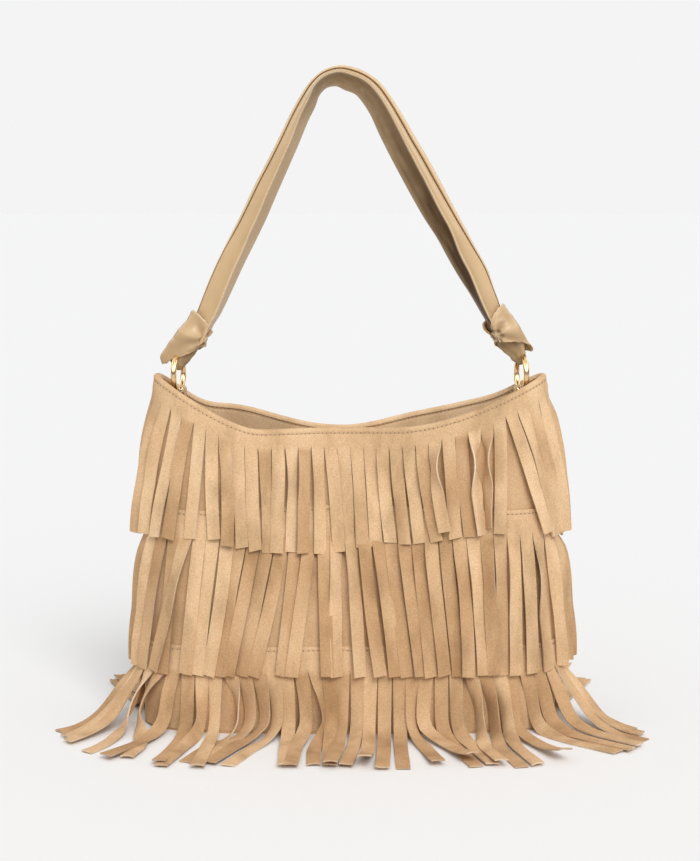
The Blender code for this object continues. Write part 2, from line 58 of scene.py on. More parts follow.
# Camera of the photo, whose image is 700 x 861 pixels
IMAGE_MIDDLE = (350.0, 430.5)
FOCAL_PIXELS = 1778.0
CAMERA_PLACE = Vector((0.0, -1.600, 0.474))
CAMERA_TILT = math.radians(7.48)

# Body of the bag, the same form as its panels in the frame
BASE_LOW, BASE_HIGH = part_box("base_panel")
BASE_WIDTH = BASE_HIGH.x - BASE_LOW.x
BASE_DEPTH = BASE_HIGH.y - BASE_LOW.y
TOP_WIDTH = 0.350
TOP_DEPTH = 0.084
CORNER_HEIGHT = 0.315
MOUTH_DIP = 0.049
BASE_SQUARENESS = 4.0
TOP_SQUARENESS = 2.4
RIM_LOW = CORNER_HEIGHT - MOUTH_DIP
# For each quarter of the rim: share of its width over which it stays low, power of its rise
RIM_FORMS = {(FRONT, LEFT): (0.49, 1.22), (FRONT, RIGHT): (0.25, 1.45), (BACK, LEFT): (0.0, 1.8),
             (BACK, RIGHT): (0.0, 1.8)}
PINCH_Y = -0.006
PINCH_HALF = 0.0064
PINCH_FLAT_WIDTH = 0.026
PINCH_FLAT_HEIGHT = 0.032
PINCH_FADE_WIDTH = 0.075
PINCH_FADE_HEIGHT = 0.200
OUTLINE_STEPS = 160

# Thicknesses of the layers, their places in from the body's outside, and the steps of their meshes
PANEL = 0.0014
SUEDE = 0.0013
FACING = 0.0010
LINING = 0.0006
FACING_HEIGHT = 0.036
LAYERS_INSIDE = 0.0032
LINING_INSIDE = 0.0034
PANEL_FOOT = 0.0023
LINING_FLOOR = 0.0045
PANEL_ROWS, PANEL_COLUMNS = 46, 90
LINING_ROWS, LINING_COLUMNS = 33, 70
FACING_COLUMNS = 130

# Fringe: lengths in metres, with the shortening of flared strips in millimetres
BAND_HEIGHT = 0.020
RIM_BAND_HEIGHT = 0.0145
STRIP_GAP = 0.0005
BAND_OFFSET = SUEDE * 0.5 + 0.0003
STRIP_OFFSET = SUEDE * 0.5 + 0.0006
ACROSS = 4
STRIP_ROWS = 18
FLOOR_STRIP_ROWS = 24
LAYER_STEP = 0.0021
FLOOR_LAYER_STEP = 0.0014
FLOOR_CLEARANCE = 0.0001
NAP_SWING = 0.15
# Tone shifts of the front's tiers are painted shade: the lower a tier, the darker, as less light falls
# there.
TOP_PAINTED_SHADE_SHIFT = -0.02
MIDDLE_PAINTED_SHADE_SHIFT = -0.26
FLOOR_PAINTED_SHADE_SHIFT = -0.36
TURNED_STRIPS = 3
TURNED_TIP = 0.72
TURNED_TOP = 0.45
FLARE_SHORTENING = 31.0
TOP_STRIPS = 34
MIDDLE_STRIPS = 35
BOTTOM_STRIPS = 36
MIDDLE_SEAM = 0.198
LOWER_SEAM = 0.078
TOP_HEM = 0.168
MIDDLE_HEM = 0.053
FLOOR_STRIP_LENGTH = 0.140
STITCH_DROP = 0.0036
STITCH_PITCH = 0.0039
# Along a stitch: share, height over the suede, radius of the thread
STITCH_ARCH = ((0.0, -0.0004, 0.00016), (0.18, 0.0001, 0.00026), (0.5, 0.00024, 0.00030),
               (0.82, 0.0001, 0.00026), (1.0, -0.0004, 0.00016))
HEXAGON = (0.0, 1.05, 2.09, 3.14, 4.19, 5.24)

MM = 0.001


def deselect_all():
    for obj in bpy.context.selected_objects:
        obj.select_set(False)


def make_active(obj):
    deselect_all()
    obj.select_set(True)
    bpy.context.view_layer.objects.active = obj


def clamp(value, low=0.0, high=1.0):
    return min(high, max(low, value))


def ease(value):
    """Rises smoothly from 0 to 1, with flat ends."""
    t = clamp(value)
    return t * t * (3 - 2 * t)


def bell(value, middle, width):
    """1 at the middle, falling to 0 on both sides."""
    return math.exp(-(((value - middle) / width) ** 2))


def signed_power(value, power):
    return math.copysign(abs(value) ** power, value)


# The wall of the bag

def half_width(z):
    rise = (z / CORNER_HEIGHT) ** 2.2 if z > 0 else 0.0
    return (BASE_WIDTH + (TOP_WIDTH - BASE_WIDTH) * rise) / 2


def half_depth(z):
    rise = (z / CORNER_HEIGHT) ** 2
    return (BASE_DEPTH + (TOP_DEPTH - BASE_DEPTH) * rise) / 2


def squareness(z):
    fall = max(0.0, 1 - z / CORNER_HEIGHT) ** 1.5
    return TOP_SQUARENESS + (BASE_SQUARENESS - TOP_SQUARENESS) * fall


def soft_step(value):
    """0 for low values and the value itself for high ones, with a rounded bend between."""
    return (value + math.sqrt(value**2 + 0.012)) / 2


def rim_height(x, side):
    """Height of the mouth's edge, low in the middle and high at the corners."""
    reach = min(1.0, abs(x) / (TOP_WIDTH / 2))
    quarter = (side, LEFT if x < 0 else RIGHT)
    start, power = RIM_FORMS[quarter]
    share = soft_step((reach - start) / (1 - start)) / soft_step(1.0)
    z = RIM_LOW + 0.001 + (MOUTH_DIP - 0.001) * share ** power
    corner = 1 - reach**12
    if quarter == (BACK, LEFT):
        z -= 0.0100 * bell(x, -0.138, 0.030) * corner
    if side == BACK:
        z += 0.0050 * bell(x, 0.050, 0.040)
        z -= 0.0030 * bell(x, 0.135, 0.025) * corner
    return z


def pinch_share(x, z):
    """1 where the snap holds the two panels together, fading out around it."""
    beside = max(0.0, abs(x) - PINCH_FLAT_WIDTH / 2)
    below = max(0.0, RIM_LOW - PINCH_FLAT_HEIGHT - z)
    fade = math.cos(math.pi / 2 * min(1.0, below / PINCH_FADE_HEIGHT)) ** 2
    return bell(beside, 0.0, PINCH_FADE_WIDTH) * fade


outlines = {}


def outline(z):
    """Points of half the body's outline at height z, from the left seam to the right."""
    key = round(z, 5)
    if key not in outlines:
        power = 2 / squareness(z)
        points = []
        for step in range(OUTLINE_STEPS + 1):
            angle = math.pi * step / OUTLINE_STEPS
            x = -half_width(z) * signed_power(math.cos(angle), power)
            points.append((x, half_depth(z) * abs(math.sin(angle)) ** power))
        lengths = [0.0]
        for (x0, y0), (x1, y1) in zip(points, points[1:]):
            lengths.append(lengths[-1] + math.hypot(x1 - x0, y1 - y0))
        outlines[key] = (points, lengths)
    return outlines[key]


def half_girth(z):
    return outline(z)[1][-1]


def body_point(side, u, z):
    """Point of the body's outside at height z; u past 0 or 1 runs on round the side seam."""
    if u < 0 or u > 1:
        return body_point(-side, -u if u < 0 else 2 - u, z)
    points, lengths = outline(z)
    target = u * lengths[-1]
    low, high = 0, OUTLINE_STEPS
    while high - low > 1:
        middle = (low + high) // 2
        low, high = (middle, high) if lengths[middle] <= target else (low, middle)
    share = (target - lengths[low]) / (lengths[high] - lengths[low])
    x = points[low][0] + share * (points[high][0] - points[low][0])
    y = side * (points[low][1] + share * (points[high][1] - points[low][1]))
    pinched_y = PINCH_Y + side * PINCH_HALF
    return Vector((x, y + (pinched_y - y) * pinch_share(x, z), z))


def wall_directions(side, u, z):
    """Unit vectors along the wall towards growing u, and outwards."""
    step = 0.012
    along = (body_point(side, u + step, z) - body_point(side, u - step, z)).normalized()
    up = (body_point(side, u, z + 0.004) - body_point(side, u, z - 0.004)).normalized()
    outwards = along.cross(up) if side == FRONT else up.cross(along)
    return along, outwards.normalized()


def wall_point(side, u, z, offset):
    return body_point(side, u, z) + wall_directions(side, u, z)[1] * offset


def rim_at(side, u):
    """Height of the mouth's edge at u, found where the wall meets the rim's curve."""
    z = RIM_LOW
    for _ in range(8):
        z = rim_height(body_point(side, u, z).x, side)
    return z


# Making meshes

def new_object(name, shape, materials, plain_tone=None):
    """A mesh object from a bmesh, with its materials."""
    mesh = bpy.data.meshes.new(name)
    shape.to_mesh(mesh)
    shape.free()
    if plain_tone is not None:
        tones = mesh.attributes.new("tone", "FLOAT", "POINT")
        tones.data.foreach_set("value", [plain_tone] * len(mesh.vertices))
    obj = bpy.data.objects.new(name, mesh)
    bpy.context.scene.collection.objects.link(obj)
    for material in materials:
        mesh.materials.append(material)
    return obj


def apply_modifiers(obj):
    make_active(obj)
    for modifier in list(obj.modifiers):
        bpy.ops.object.modifier_apply(modifier=modifier.name)


def smooth(obj, degrees=40):
    make_active(obj)
    bpy.ops.object.shade_smooth_by_angle(angle=math.radians(degrees))


def add_bevel(obj, width, segments, degrees):
    bevel = obj.modifiers.new("bevel", "BEVEL")
    bevel.width = width
    bevel.segments = segments
    bevel.limit_method = "ANGLE"
    bevel.angle_limit = math.radians(degrees)


def thicken(obj, thickness, edge_slot=0, offset=0.0):
    solidify = obj.modifiers.new("thickness", "SOLIDIFY")
    solidify.thickness = thickness
    solidify.offset = offset
    solidify.use_even_offset = False
    solidify.material_offset_rim = edge_slot
    apply_modifiers(obj)
    smooth(obj)


def join_rows(shape, rows, closed=False):
    """Faces between neighbouring rows of verts, which run upwards."""
    for lower, upper in zip(rows, rows[1:]):
        count = len(lower)
        for i in range(count if closed else count - 1):
            j = (i + 1) % count
            shape.faces.new((lower[i], lower[j], upper[j], upper[i]))


def close_ends(shape, rings):
    shape.faces.new(rings[0])
    shape.faces.new(rings[-1][::-1])


def grid(shape, rows, closed=False):
    """Verts at the rows' points, with faces between them."""
    verts = [[shape.verts.new(point) for point in row] for row in rows]
    join_rows(shape, verts, closed)
    return verts


def along_side(side, count):
    """u values along a side, ordered so that faces look outwards."""
    places = [i / count for i in range(count + 1)]
    return places if side == FRONT else places[::-1]


# Materials

def set_inputs(made, values):
    for name, value in values.items():
        made.inputs[name].default_value = value


def node(tree, kind, inputs=None, **properties):
    """A shader node with the given properties and values of its inputs."""
    made = tree.nodes.new("ShaderNode" + kind)
    for name, value in properties.items():
        setattr(made, name, value)
    set_inputs(made, inputs or {})
    return made


def wire(tree, *links):
    """Links in a node tree, each given as node, output, node, input."""
    for start, output, end, entry in links:
        tree.links.new(start.outputs[output], end.inputs[entry])


def texture(tree, kind, inputs, **properties):
    """A texture that lies fixed on its piece."""
    made = node(tree, kind, inputs, **properties)
    wire(tree, (node(tree, "TexCoord"), "Object", made, "Vector"))
    return made


def map_range(tree, factor, low, high, start=0.0, end=1.0):
    """A number that goes from low to high while the factor goes from start to end."""
    made = node(tree, "MapRange", {"From Min": start, "From Max": end, "To Min": low, "To Max": high})
    tree.links.new(factor, made.inputs["Value"])
    return made.outputs["Result"]


def add_bump(tree, shader, height, strength, distance):
    bump = node(tree, "Bump", {"Strength": strength, "Distance": distance})
    tree.links.new(height, bump.inputs["Height"])
    wire(tree, (bump, "Normal", shader, "Normal"))


def nap_group():
    """Brushed suede nap: a soft blotchy mask, a fine grain mask and a height."""
    group = bpy.data.node_groups.new("suede_nap", "ShaderNodeTree")
    sockets = {"INPUT": ("Patch Scale", "Grain Scale"), "OUTPUT": ("Patches", "Grain", "Height")}
    for way, names in sockets.items():
        for name in names:
            group.interface.new_socket(name, in_out=way, socket_type="NodeSocketFloat")
    inputs = group.nodes.new("NodeGroupInput")
    outputs = group.nodes.new("NodeGroupOutput")
    stretch = texture(group, "Mapping", {"Scale": (1.0, 1.0, 0.45)})
    patches = node(group, "TexNoise", {"Detail": 3.0, "Roughness": 0.55})
    grain = texture(group, "TexNoise", {"Detail": 4.0, "Roughness": 0.7})
    fibre = texture(group, "TexNoise", {"Detail": 2.0, "Roughness": 0.6})
    finer = node(group, "Math", {1: 2.6}, operation="MULTIPLY")
    total = node(group, "Math", operation="ADD")
    wire(group, (stretch, "Vector", patches, "Vector"), (inputs, "Patch Scale", patches, "Scale"),
         (inputs, "Grain Scale", grain, "Scale"), (inputs, "Grain Scale", finer, 0),
         (finer, "Value", fibre, "Scale"), (grain, "Fac", total, 0), (fibre, "Fac", total, 1),
         (patches, "Fac", outputs, "Patches"), (grain, "Fac", outputs, "Grain"),
         (total, "Value", outputs, "Height"))


def new_material(name, inputs):
    """A material, its node tree and its shader with the given values."""
    material = bpy.data.materials.new(name)
    material.use_nodes = True
    shader = material.node_tree.nodes["Principled BSDF"]
    set_inputs(shader, inputs)
    return material, material.node_tree, shader


def ramp(tree, factor, stops):
    """The colour that a ramp gives for a factor. A stop's colour may be one number, a grey."""
    made = node(tree, "ValToRGB")
    elements = made.color_ramp.elements
    while len(elements) < len(stops):
        elements.new(0.5)
    for element, (position, colour) in zip(elements, stops):
        element.position = position
        element.color = (*colour, 1.0) if isinstance(colour, tuple) else (colour, colour, colour, 1.0)
    tree.links.new(factor, made.inputs["Fac"])
    return made.outputs["Color"]


def plain_colour(tree, colour):
    made = node(tree, "RGB")
    made.outputs[0].default_value = (*colour, 1.0)
    return made.outputs[0]


def attribute(tree, name):
    return node(tree, "Attribute", attribute_name=name).outputs["Fac"]


def mix_colour(tree, blend, factor, first, second):
    """A colour mix of two sockets; factor is a number or a socket."""
    made = node(tree, "Mix", data_type="RGBA", blend_type=blend)
    if isinstance(factor, float):
        made.inputs[0].default_value = factor
    else:
        tree.links.new(factor, made.inputs[0])
    tree.links.new(first, made.inputs[6])
    tree.links.new(second, made.inputs[7])
    return made.outputs[2]


def suede_material(name, dark, middle, light, strength=0.38, grain_scale=900.0):
    """Napped suede, whose strips differ a little by their tone attribute; that attribute also carries
    painted shade on the front's lower tiers and on the panels, and painted light on the facings.
    """
    material, tree, shader = new_material(name, {
        "Roughness": 0.95, "Sheen Weight": 0.25, "Sheen Roughness": 0.55, "Sheen Tint": (*light, 1.0),
        "Specular IOR Level": 0.15})
    nap = node(tree, "Group", {"Patch Scale": 34.0, "Grain Scale": grain_scale},
               node_tree=bpy.data.node_groups["suede_nap"])
    base = ramp(tree, nap.outputs["Patches"], [(0.30, dark), (0.52, middle), (0.74, light)])
    speckle = ramp(tree, nap.outputs["Grain"], [(0.32, (0.73, 0.71, 0.69)), (0.68, 1.15)])
    tones = ramp(tree, attribute(tree, "tone"), [
        (0.0, (0.74, 0.66, 0.58)), (0.35, (0.93, 0.90, 0.86)), (0.65, (1.03, 1.03, 1.02)),
        (1.0, (1.12, 1.15, 1.19))])
    grained = mix_colour(tree, "MULTIPLY", 0.85, base, speckle)
    toned = mix_colour(tree, "MULTIPLY", 1.0, grained, tones)
    tree.links.new(toned, shader.inputs["Base Color"])
    add_bump(tree, shader, nap.outputs["Height"], strength, 0.0006)
    return material


def leather_material(name, dark, middle, light, roughness):
    """Smooth nappa leather with a faint pebble, darkened and dulled by one attribute's painted shade and
    lightened by another's painted highlights.
    """
    material, tree, shader = new_material(name, {})
    cloud = texture(tree, "TexNoise", {"Scale": 22.0, "Detail": 3.0, "Roughness": 0.5})
    base = ramp(tree, cloud.outputs["Fac"], [(0.32, middle), (0.68, light)])
    # Painted shade mixes in the dark colour; painted highlights mix in a fixed pale colour.
    painted_shade = attribute(tree, "painted_shade")
    shaded = mix_colour(tree, "MIX", painted_shade, base, plain_colour(tree, dark))
    bright = plain_colour(tree, (0.86, 0.68, 0.47))
    lit = mix_colour(tree, "MIX", attribute(tree, "painted_highlight"), shaded, bright)
    tree.links.new(lit, shader.inputs["Base Color"])
    pebble = texture(tree, "TexVoronoi", {"Scale": 1500.0})
    creases = texture(tree, "TexNoise", {"Scale": 260.0, "Detail": 4.0, "Roughness": 0.6})
    height = node(tree, "Math", {1: 0.35}, operation="MULTIPLY_ADD")
    wire(tree, (pebble, "Distance", height, 0), (creases, "Fac", height, 2))
    add_bump(tree, shader, height.outputs["Value"], 0.09, 0.0003)
    gloss = map_range(tree, creases.outputs["Fac"], roughness - 0.06, roughness + 0.10)
    tree.links.new(gloss, shader.inputs["Roughness"])
    gloom = map_range(tree, painted_shade, 0.45, 0.03, 0.25, 0.85)
    tree.links.new(gloom, shader.inputs["Specular IOR Level"])
    return material


def gold_material():
    """Polished gold plate with small dull spots."""
    material, tree, shader = new_material("gold_plate", {"Metallic": 1.0})
    spots = texture(tree, "TexNoise", {"Scale": 320.0, "Detail": 3.0, "Roughness": 0.6}).outputs["Fac"]
    tint = ramp(tree, spots, [(0.30, (0.74, 0.50, 0.22)), (0.70, (0.90, 0.68, 0.38))])
    tree.links.new(tint, shader.inputs["Base Color"])
    tree.links.new(map_range(tree, spots, 0.14, 0.30), shader.inputs["Roughness"])
    return material


def cloth_material(name, dark, light, threads):
    """Plain woven cloth: two crossed sets of threads."""
    material, tree, shader = new_material(name, {"Roughness": 0.85})
    weave = node(tree, "Math", operation="MAXIMUM")
    for entry, direction in enumerate(("X", "Z")):
        wave = texture(tree, "TexWave", {"Scale": threads, "Distortion": 0.6, "Detail": 2.0},
                       bands_direction=direction)
        wire(tree, (wave, "Fac", weave, entry))
    base = ramp(tree, weave.outputs["Value"], [(0.1, dark), (0.9, light)])
    tree.links.new(base, shader.inputs["Base Color"])
    add_bump(tree, shader, weave.outputs["Value"], 0.4, 0.0003)
    return material


nap_group()
suede = suede_material("fringe_suede", (0.54, 0.355, 0.197), (0.75, 0.51, 0.300), (0.84, 0.60, 0.375))
# A lighter copy of the suede: painted light, as falls into the mouth on the facings; the base panel wears it
# too.
inner_suede_painted_light = suede_material("inner_suede_painted_light", (0.68, 0.46, 0.27), (0.80, 0.57, 0.35), (0.86, 0.64, 0.42))
cut_edge = suede_material("cut_edge", (0.64, 0.47, 0.31), (0.79, 0.61, 0.43), (0.88, 0.74, 0.57),
                          strength=0.5, grain_scale=1600.0)
# The strap leather's first colour is its painted shade, on the inner faces and creases of the strap and
# knots.
leather = leather_material("strap_leather", (0.095, 0.055, 0.028), (0.53, 0.350, 0.175),
                           (0.61, 0.415, 0.220), roughness=0.36)
tab_leather = leather_material("tab_leather", (0.2, 0.12, 0.06), (0.55, 0.37, 0.20), (0.62, 0.44, 0.25),
                               roughness=0.5)
gold = gold_material()
lining_cloth = cloth_material("lining_twill", (0.36, 0.25, 0.15), (0.52, 0.39, 0.26), 220.0)
thread = cloth_material("sewing_thread", (0.58, 0.42, 0.25), (0.74, 0.56, 0.36), 900.0)
# Dark colour of the needle holes: painted shade inside the holes.
needle_hole_painted_shade = cloth_material("needle_hole_painted_shade", (0.22, 0.14, 0.07), (0.30, 0.20, 0.11), 600.0)
board_fibre = cloth_material("board_fibre", (0.2, 0.16, 0.11), (0.3, 0.24, 0.17), 300.0)


# Panels, facings, lining and base

def panel(name, side):
    """Soft suede panel with a slight unevenness, standing on the base."""
    rows = []
    for row in range(PANEL_ROWS + 1):
        share = row / PANEL_ROWS
        line = []
        for u in along_side(side, PANEL_COLUMNS):
            z = PANEL_FOOT + share * (rim_at(side, u) - PANEL_FOOT)
            uneven = 0.0004 * abs(noise.noise(body_point(side, u, z) * 18.0))
            line.append(wall_point(side, u, z, -PANEL - uneven))
        rows.append(line)
    shape = bmesh.new()
    grid(shape, rows)
    # Tone 0.22 darkens the panel with painted shade, where it shows between the strips.
    obj = new_object(name, shape, [suede, cut_edge], 0.22)
    thicken(obj, PANEL, 1, 1.0)
    return obj


def facing(name, side):
    """Suede facing inside the mouth, rolled over the rim's layers at the top."""
    roll = 0.0013
    # Depth under the rim and distance from the flat facing; the stitches press a groove into it
    profile = [(FACING_HEIGHT, 0.0), (0.024, 0.0), (0.012, 0.0), (0.0065, 0.0),
               (STITCH_DROP + 0.0006, 0.0001), (STITCH_DROP, 0.0006), (STITCH_DROP - 0.0008, -0.0001),
               (0.0022, -0.0006), (0.0008, -0.0004), (-roll * 0.5, 0.0003), (-roll, 0.0013)]
    rows = []
    for drop, out in profile:
        places = [(u, rim_at(side, u) - drop) for u in along_side(side, FACING_COLUMNS)]
        rows.append([wall_point(side, u, z, out - LAYERS_INSIDE) for u, z in places])
    shape = bmesh.new()
    grid(shape, rows)
    # The lighter suede and tone 0.6 paint the light that falls into the mouth.
    obj = new_object(name, shape, [inner_suede_painted_light, cut_edge], 0.6)
    for face in obj.data.polygons:
        face.flip()
    thicken(obj, FACING, 1, -1.0)
    return obj


def lining():
    """Cloth bag inside, sewn to the facings' lower edges, with a little slack."""
    rows = []
    for row in range(LINING_ROWS + 1):
        share = row / LINING_ROWS
        line = []
        for side in (FRONT, BACK):
            for u in along_side(side, LINING_COLUMNS)[:-1]:
                top = rim_at(side, u) - FACING_HEIGHT + 0.002
                z = LINING_FLOOR + share * (top - LINING_FLOOR)
                ripple = abs(noise.noise(Vector((u * 9 + side, z * 30, 2.0))))
                slack = 0.0012 * ripple * math.sin(math.pi * share)
                line.append(wall_point(side, u, z, -LINING_INSIDE - slack))
        rows.append(line)
    shape = bmesh.new()
    foot = grid(shape, rows, closed=True)[0]
    centre = sum((v.co for v in foot), Vector()) / len(foot)
    ring = foot
    for share in (0.7, 0.35):
        inner = [shape.verts.new(centre + (v.co - centre) * share) for v in foot]
        join_rows(shape, [inner, ring], closed=True)
        ring = inner
    middle = shape.verts.new(centre)
    for i in range(len(ring)):
        shape.faces.new((middle, ring[(i + 1) % len(ring)], ring[i]))
    bmesh.ops.recalc_face_normals(shape, faces=shape.faces)
    obj = new_object("cloth_lining", shape, [lining_cloth])
    thicken(obj, LINING)
    return obj


# Fringe

# Up a band, from the slits (1) to its upper edge (0): share of its height, distance from the wall.
# The stitches press a groove into it, and the rim's band rolls over the mouth's edge
RIM_BAND = ((1.0, 0.0004), (0.75, 0.0006), (0.5, 0.0005), (0.36, 0.0004), (0.285, 0.0002),
            (0.25, -0.0006), (0.215, 0.0002), (0.15, 0.0007), (0.07, 0.0006), (0.01, 0.0001),
            (-0.03, -0.0009), (-0.05, -0.0024))
SEWN_BAND = ((1.0, 0.0004), (0.75, 0.0003), (0.5, 0.0002), (0.3, 0.0001), (0.22, 0.0000), (0.18, -0.0003),
             (0.14, 0.0000), (0.08, 0.0001), (0.0, -0.0001))


class Strip:
    """How one strip of fringe hangs. Lengths in millimetres and turns in degrees."""

    def __init__(self, dice):
        self.lean = dice.gauss(0, 2.5)
        self.bow = dice.gauss(0, 0.8)
        self.layer = 0
        self.drop = dice.gauss(0, 1.2)
        self.twist_top = dice.choice((-1, 1)) * max(0.0, dice.gauss(0, 22))
        self.twist_tip = dice.gauss(0, 9)
        self.cup = dice.gauss(0.3, 0.45)
        self.slant = dice.gauss(0, 0.5)
        self.stand = dice.uniform(2.2, 5.0)
        self.tone = clamp(dice.gauss(0.5, 0.22))
        self.wave = dice.uniform(0, math.tau)
        self.heading = dice.gauss(0, 9)
        self.length = dice.gauss(0, 2.5)
        self.curl = max(0.0, dice.gauss(0, 3.0))
        self.flare = 0.0


def stack_layers(strips, pitch):
    """Puts each strip whose tip would cross a neighbour's in the lowest free layer."""
    for k, strip in enumerate(strips):
        taken = set()
        for back in range(1, min(3, k) + 1):
            other = strips[k - back]
            apart = back * pitch + strip.lean - other.lean
            if abs(apart) < pitch * 0.97:
                taken.add(other.layer)
        if strip.layer in taken or (strip.layer == 0 and taken):
            strip.layer = min({0, 1, 2, 3} - taken)


def band(shape, tone, side, count, top, slit, rolled):
    """The uncut top of a tier. Gives back its lowest row, where the slits start."""
    columns = count * ACROSS
    rows = []
    for share, offset in RIM_BAND if rolled else SEWN_BAND:
        row = []
        for i in range(columns + 1):
            u = i / columns
            z = top(side, u) + (slit(side, u) - top(side, u)) * share
            point = body_point(side, u, z)
            pucker = 0.0008 * (0.5 + noise.noise(point * 60.0)) * ease(share * 1.6 - 0.3)
            row.append(shape.verts.new(wall_point(side, u, z, BAND_OFFSET + offset + pucker)))
        rows.append(row)
    for lower, upper in zip(rows, rows[1:]):
        for i in range(columns):
            loop = (upper[i], upper[i + 1], lower[i + 1], lower[i])
            shape.faces.new(loop if side == FRONT else loop[::-1])
    for row in rows:
        for vert in row:
            vert[tone] = 0.5
    return rows[0]


def join_strip(shape, tone, slits, k, sections, side, strip):
    """Adds a strip's faces below its part of the slit row, with lighter and darker nap along it."""
    previous = slits[k * ACROSS:(k + 1) * ACROSS + 1]
    for i, section in enumerate(sections):
        current = [shape.verts.new(point) for point in section]
        brushed = NAP_SWING * math.sin(2.3 * strip.wave + 5.5 * i / len(sections))
        for vert in current:
            vert[tone] = clamp(strip.tone + brushed)
        for i in range(ACROSS):
            loop = (previous[i], previous[i + 1], current[i + 1], current[i])
            face = shape.faces.new(loop if side == FRONT else loop[::-1])
            face.normal_flip()
        previous = current


def twisted_part(share):
    """How much of its upper twist a strip shows at a share of its length."""
    return math.sin(math.pi * clamp(share / 0.62))


def sections_along(points, alongs, strip, width, bend_from):
    """Cross sections of a strip at the points of its middle line.

    alongs are the directions across the strip before it twists, bend_from the share of the
    length over which the top is still held flat by the band.
    """
    sections = []
    last = len(points) - 1
    for i in range(1, last + 1):
        share = i / last
        tangent = (points[min(last, i + 1)] - points[i - 1]).normalized()
        across = alongs[i] - tangent * alongs[i].dot(tangent)
        across.normalize()
        hold = ease(share / bend_from)
        turn = strip.twist_top * twisted_part(share) ** 1.5 + strip.twist_tip * ease(share)
        turn += 3.0 * math.sin(strip.wave + 7 * share)
        across = Matrix.Rotation(math.radians(turn) * hold, 3, tangent) @ across
        outwards = across.cross(tangent)
        row = []
        for j in range(ACROSS + 1):
            side_share = 2 * j / ACROSS - 1
            cup = strip.cup * MM * (1 - side_share**2) * hold
            slant = strip.slant * MM * side_share if i == last else 0.0
            row.append(points[i] + across * (side_share * width / 2) - outwards * cup + tangent * slant)
        sections.append(row)
    return sections


def hanging_strip(side, k, count, slit, hem, strip):
    """Middle line and sideways directions of a strip that hangs down the wall."""
    middle = (k + 0.5) / count
    top = slit(side, middle)
    bottom = hem - strip.drop * MM
    points = []
    alongs = []
    for i in range(STRIP_ROWS + 1):
        share = i / STRIP_ROWS
        z = top + (bottom - top) * share
        sideways = strip.lean * MM * share**1.12 + strip.bow * MM * math.sin(math.pi * share)
        u = middle + sideways / half_girth(z)
        wobble = 0.35 * MM * math.sin(strip.wave + 9 * share) * ease(share / 0.3)
        stack = strip.layer * LAYER_STEP / MM * ease(share / 0.2)
        rise = (strip.stand * ease(share * 1.15) + stack) * MM
        turned = abs(math.sin(math.radians(strip.twist_top))) * 0.0050 * twisted_part(share)
        points.append(wall_point(side, u, z, STRIP_OFFSET + rise + wobble + turned))
        alongs.append(wall_directions(side, u, z)[0])
    return points, alongs


def finish_tier(name, shape):
    bmesh.ops.recalc_face_normals(shape, faces=shape.faces)
    obj = new_object(name, shape, [suede, cut_edge])
    thicken(obj, SUEDE, 1)
    return obj


def hanging_tier(name, side, top, slit, hem, strips, rolled):
    """One half of a tier: uncut band, then strips of even width that hang from it."""
    shape = bmesh.new()
    tone = shape.verts.layers.float.new("tone")
    count = len(strips)
    slits = band(shape, tone, side, count, top, slit, rolled)
    stack_layers(strips, 1000 * half_girth(hem) / count)
    for k, strip in enumerate(strips):
        width = half_girth(slit(side, (k + 0.5) / count)) / count - STRIP_GAP
        points, alongs = hanging_strip(side, k, count, slit, hem, strip)
        if side == FRONT and min(k, count - 1 - k) < TURNED_STRIPS:
            turned = math.degrees(math.atan2(alongs[-1].y, alongs[-1].x))
            strip.twist_tip = TURNED_TIP * turned
            strip.twist_top = TURNED_TOP * turned
        sections = sections_along(points, alongs, strip, width, 0.10)
        join_strip(shape, tone, slits, k, sections, side, strip)
    return finish_tier(name, shape)


def smooth_curve(points, steps):
    """Points of a smooth curve through the given ones, with so many steps between each two."""
    found = []
    last = len(points) - 1
    for i in range(last):
        before, start = points[max(0, i - 1)], points[i]
        end, after = points[i + 1], points[min(last, i + 2)]
        for step in range(steps):
            t = step / steps
            found.append(0.5 * (2 * start + (end - before) * t
                                + (2 * before - 5 * start + 4 * end - after) * t**2
                                + (3 * start - before - 3 * end + after) * t**3))
    found.append(points[last])
    return found


def spaced(points, length, count):
    """count + 1 points at even distances along a polyline, up to a length."""
    lengths = [0.0]
    for a, b in zip(points, points[1:]):
        lengths.append(lengths[-1] + (b - a).length)
    found = []
    place = 0
    for i in range(count + 1):
        target = min(lengths[-1] - 1e-6, length * i / count)
        while lengths[place + 1] < target:
            place += 1
        share = (target - lengths[place]) / (lengths[place + 1] - lengths[place])
        found.append(points[place].lerp(points[place + 1], share))
    return found


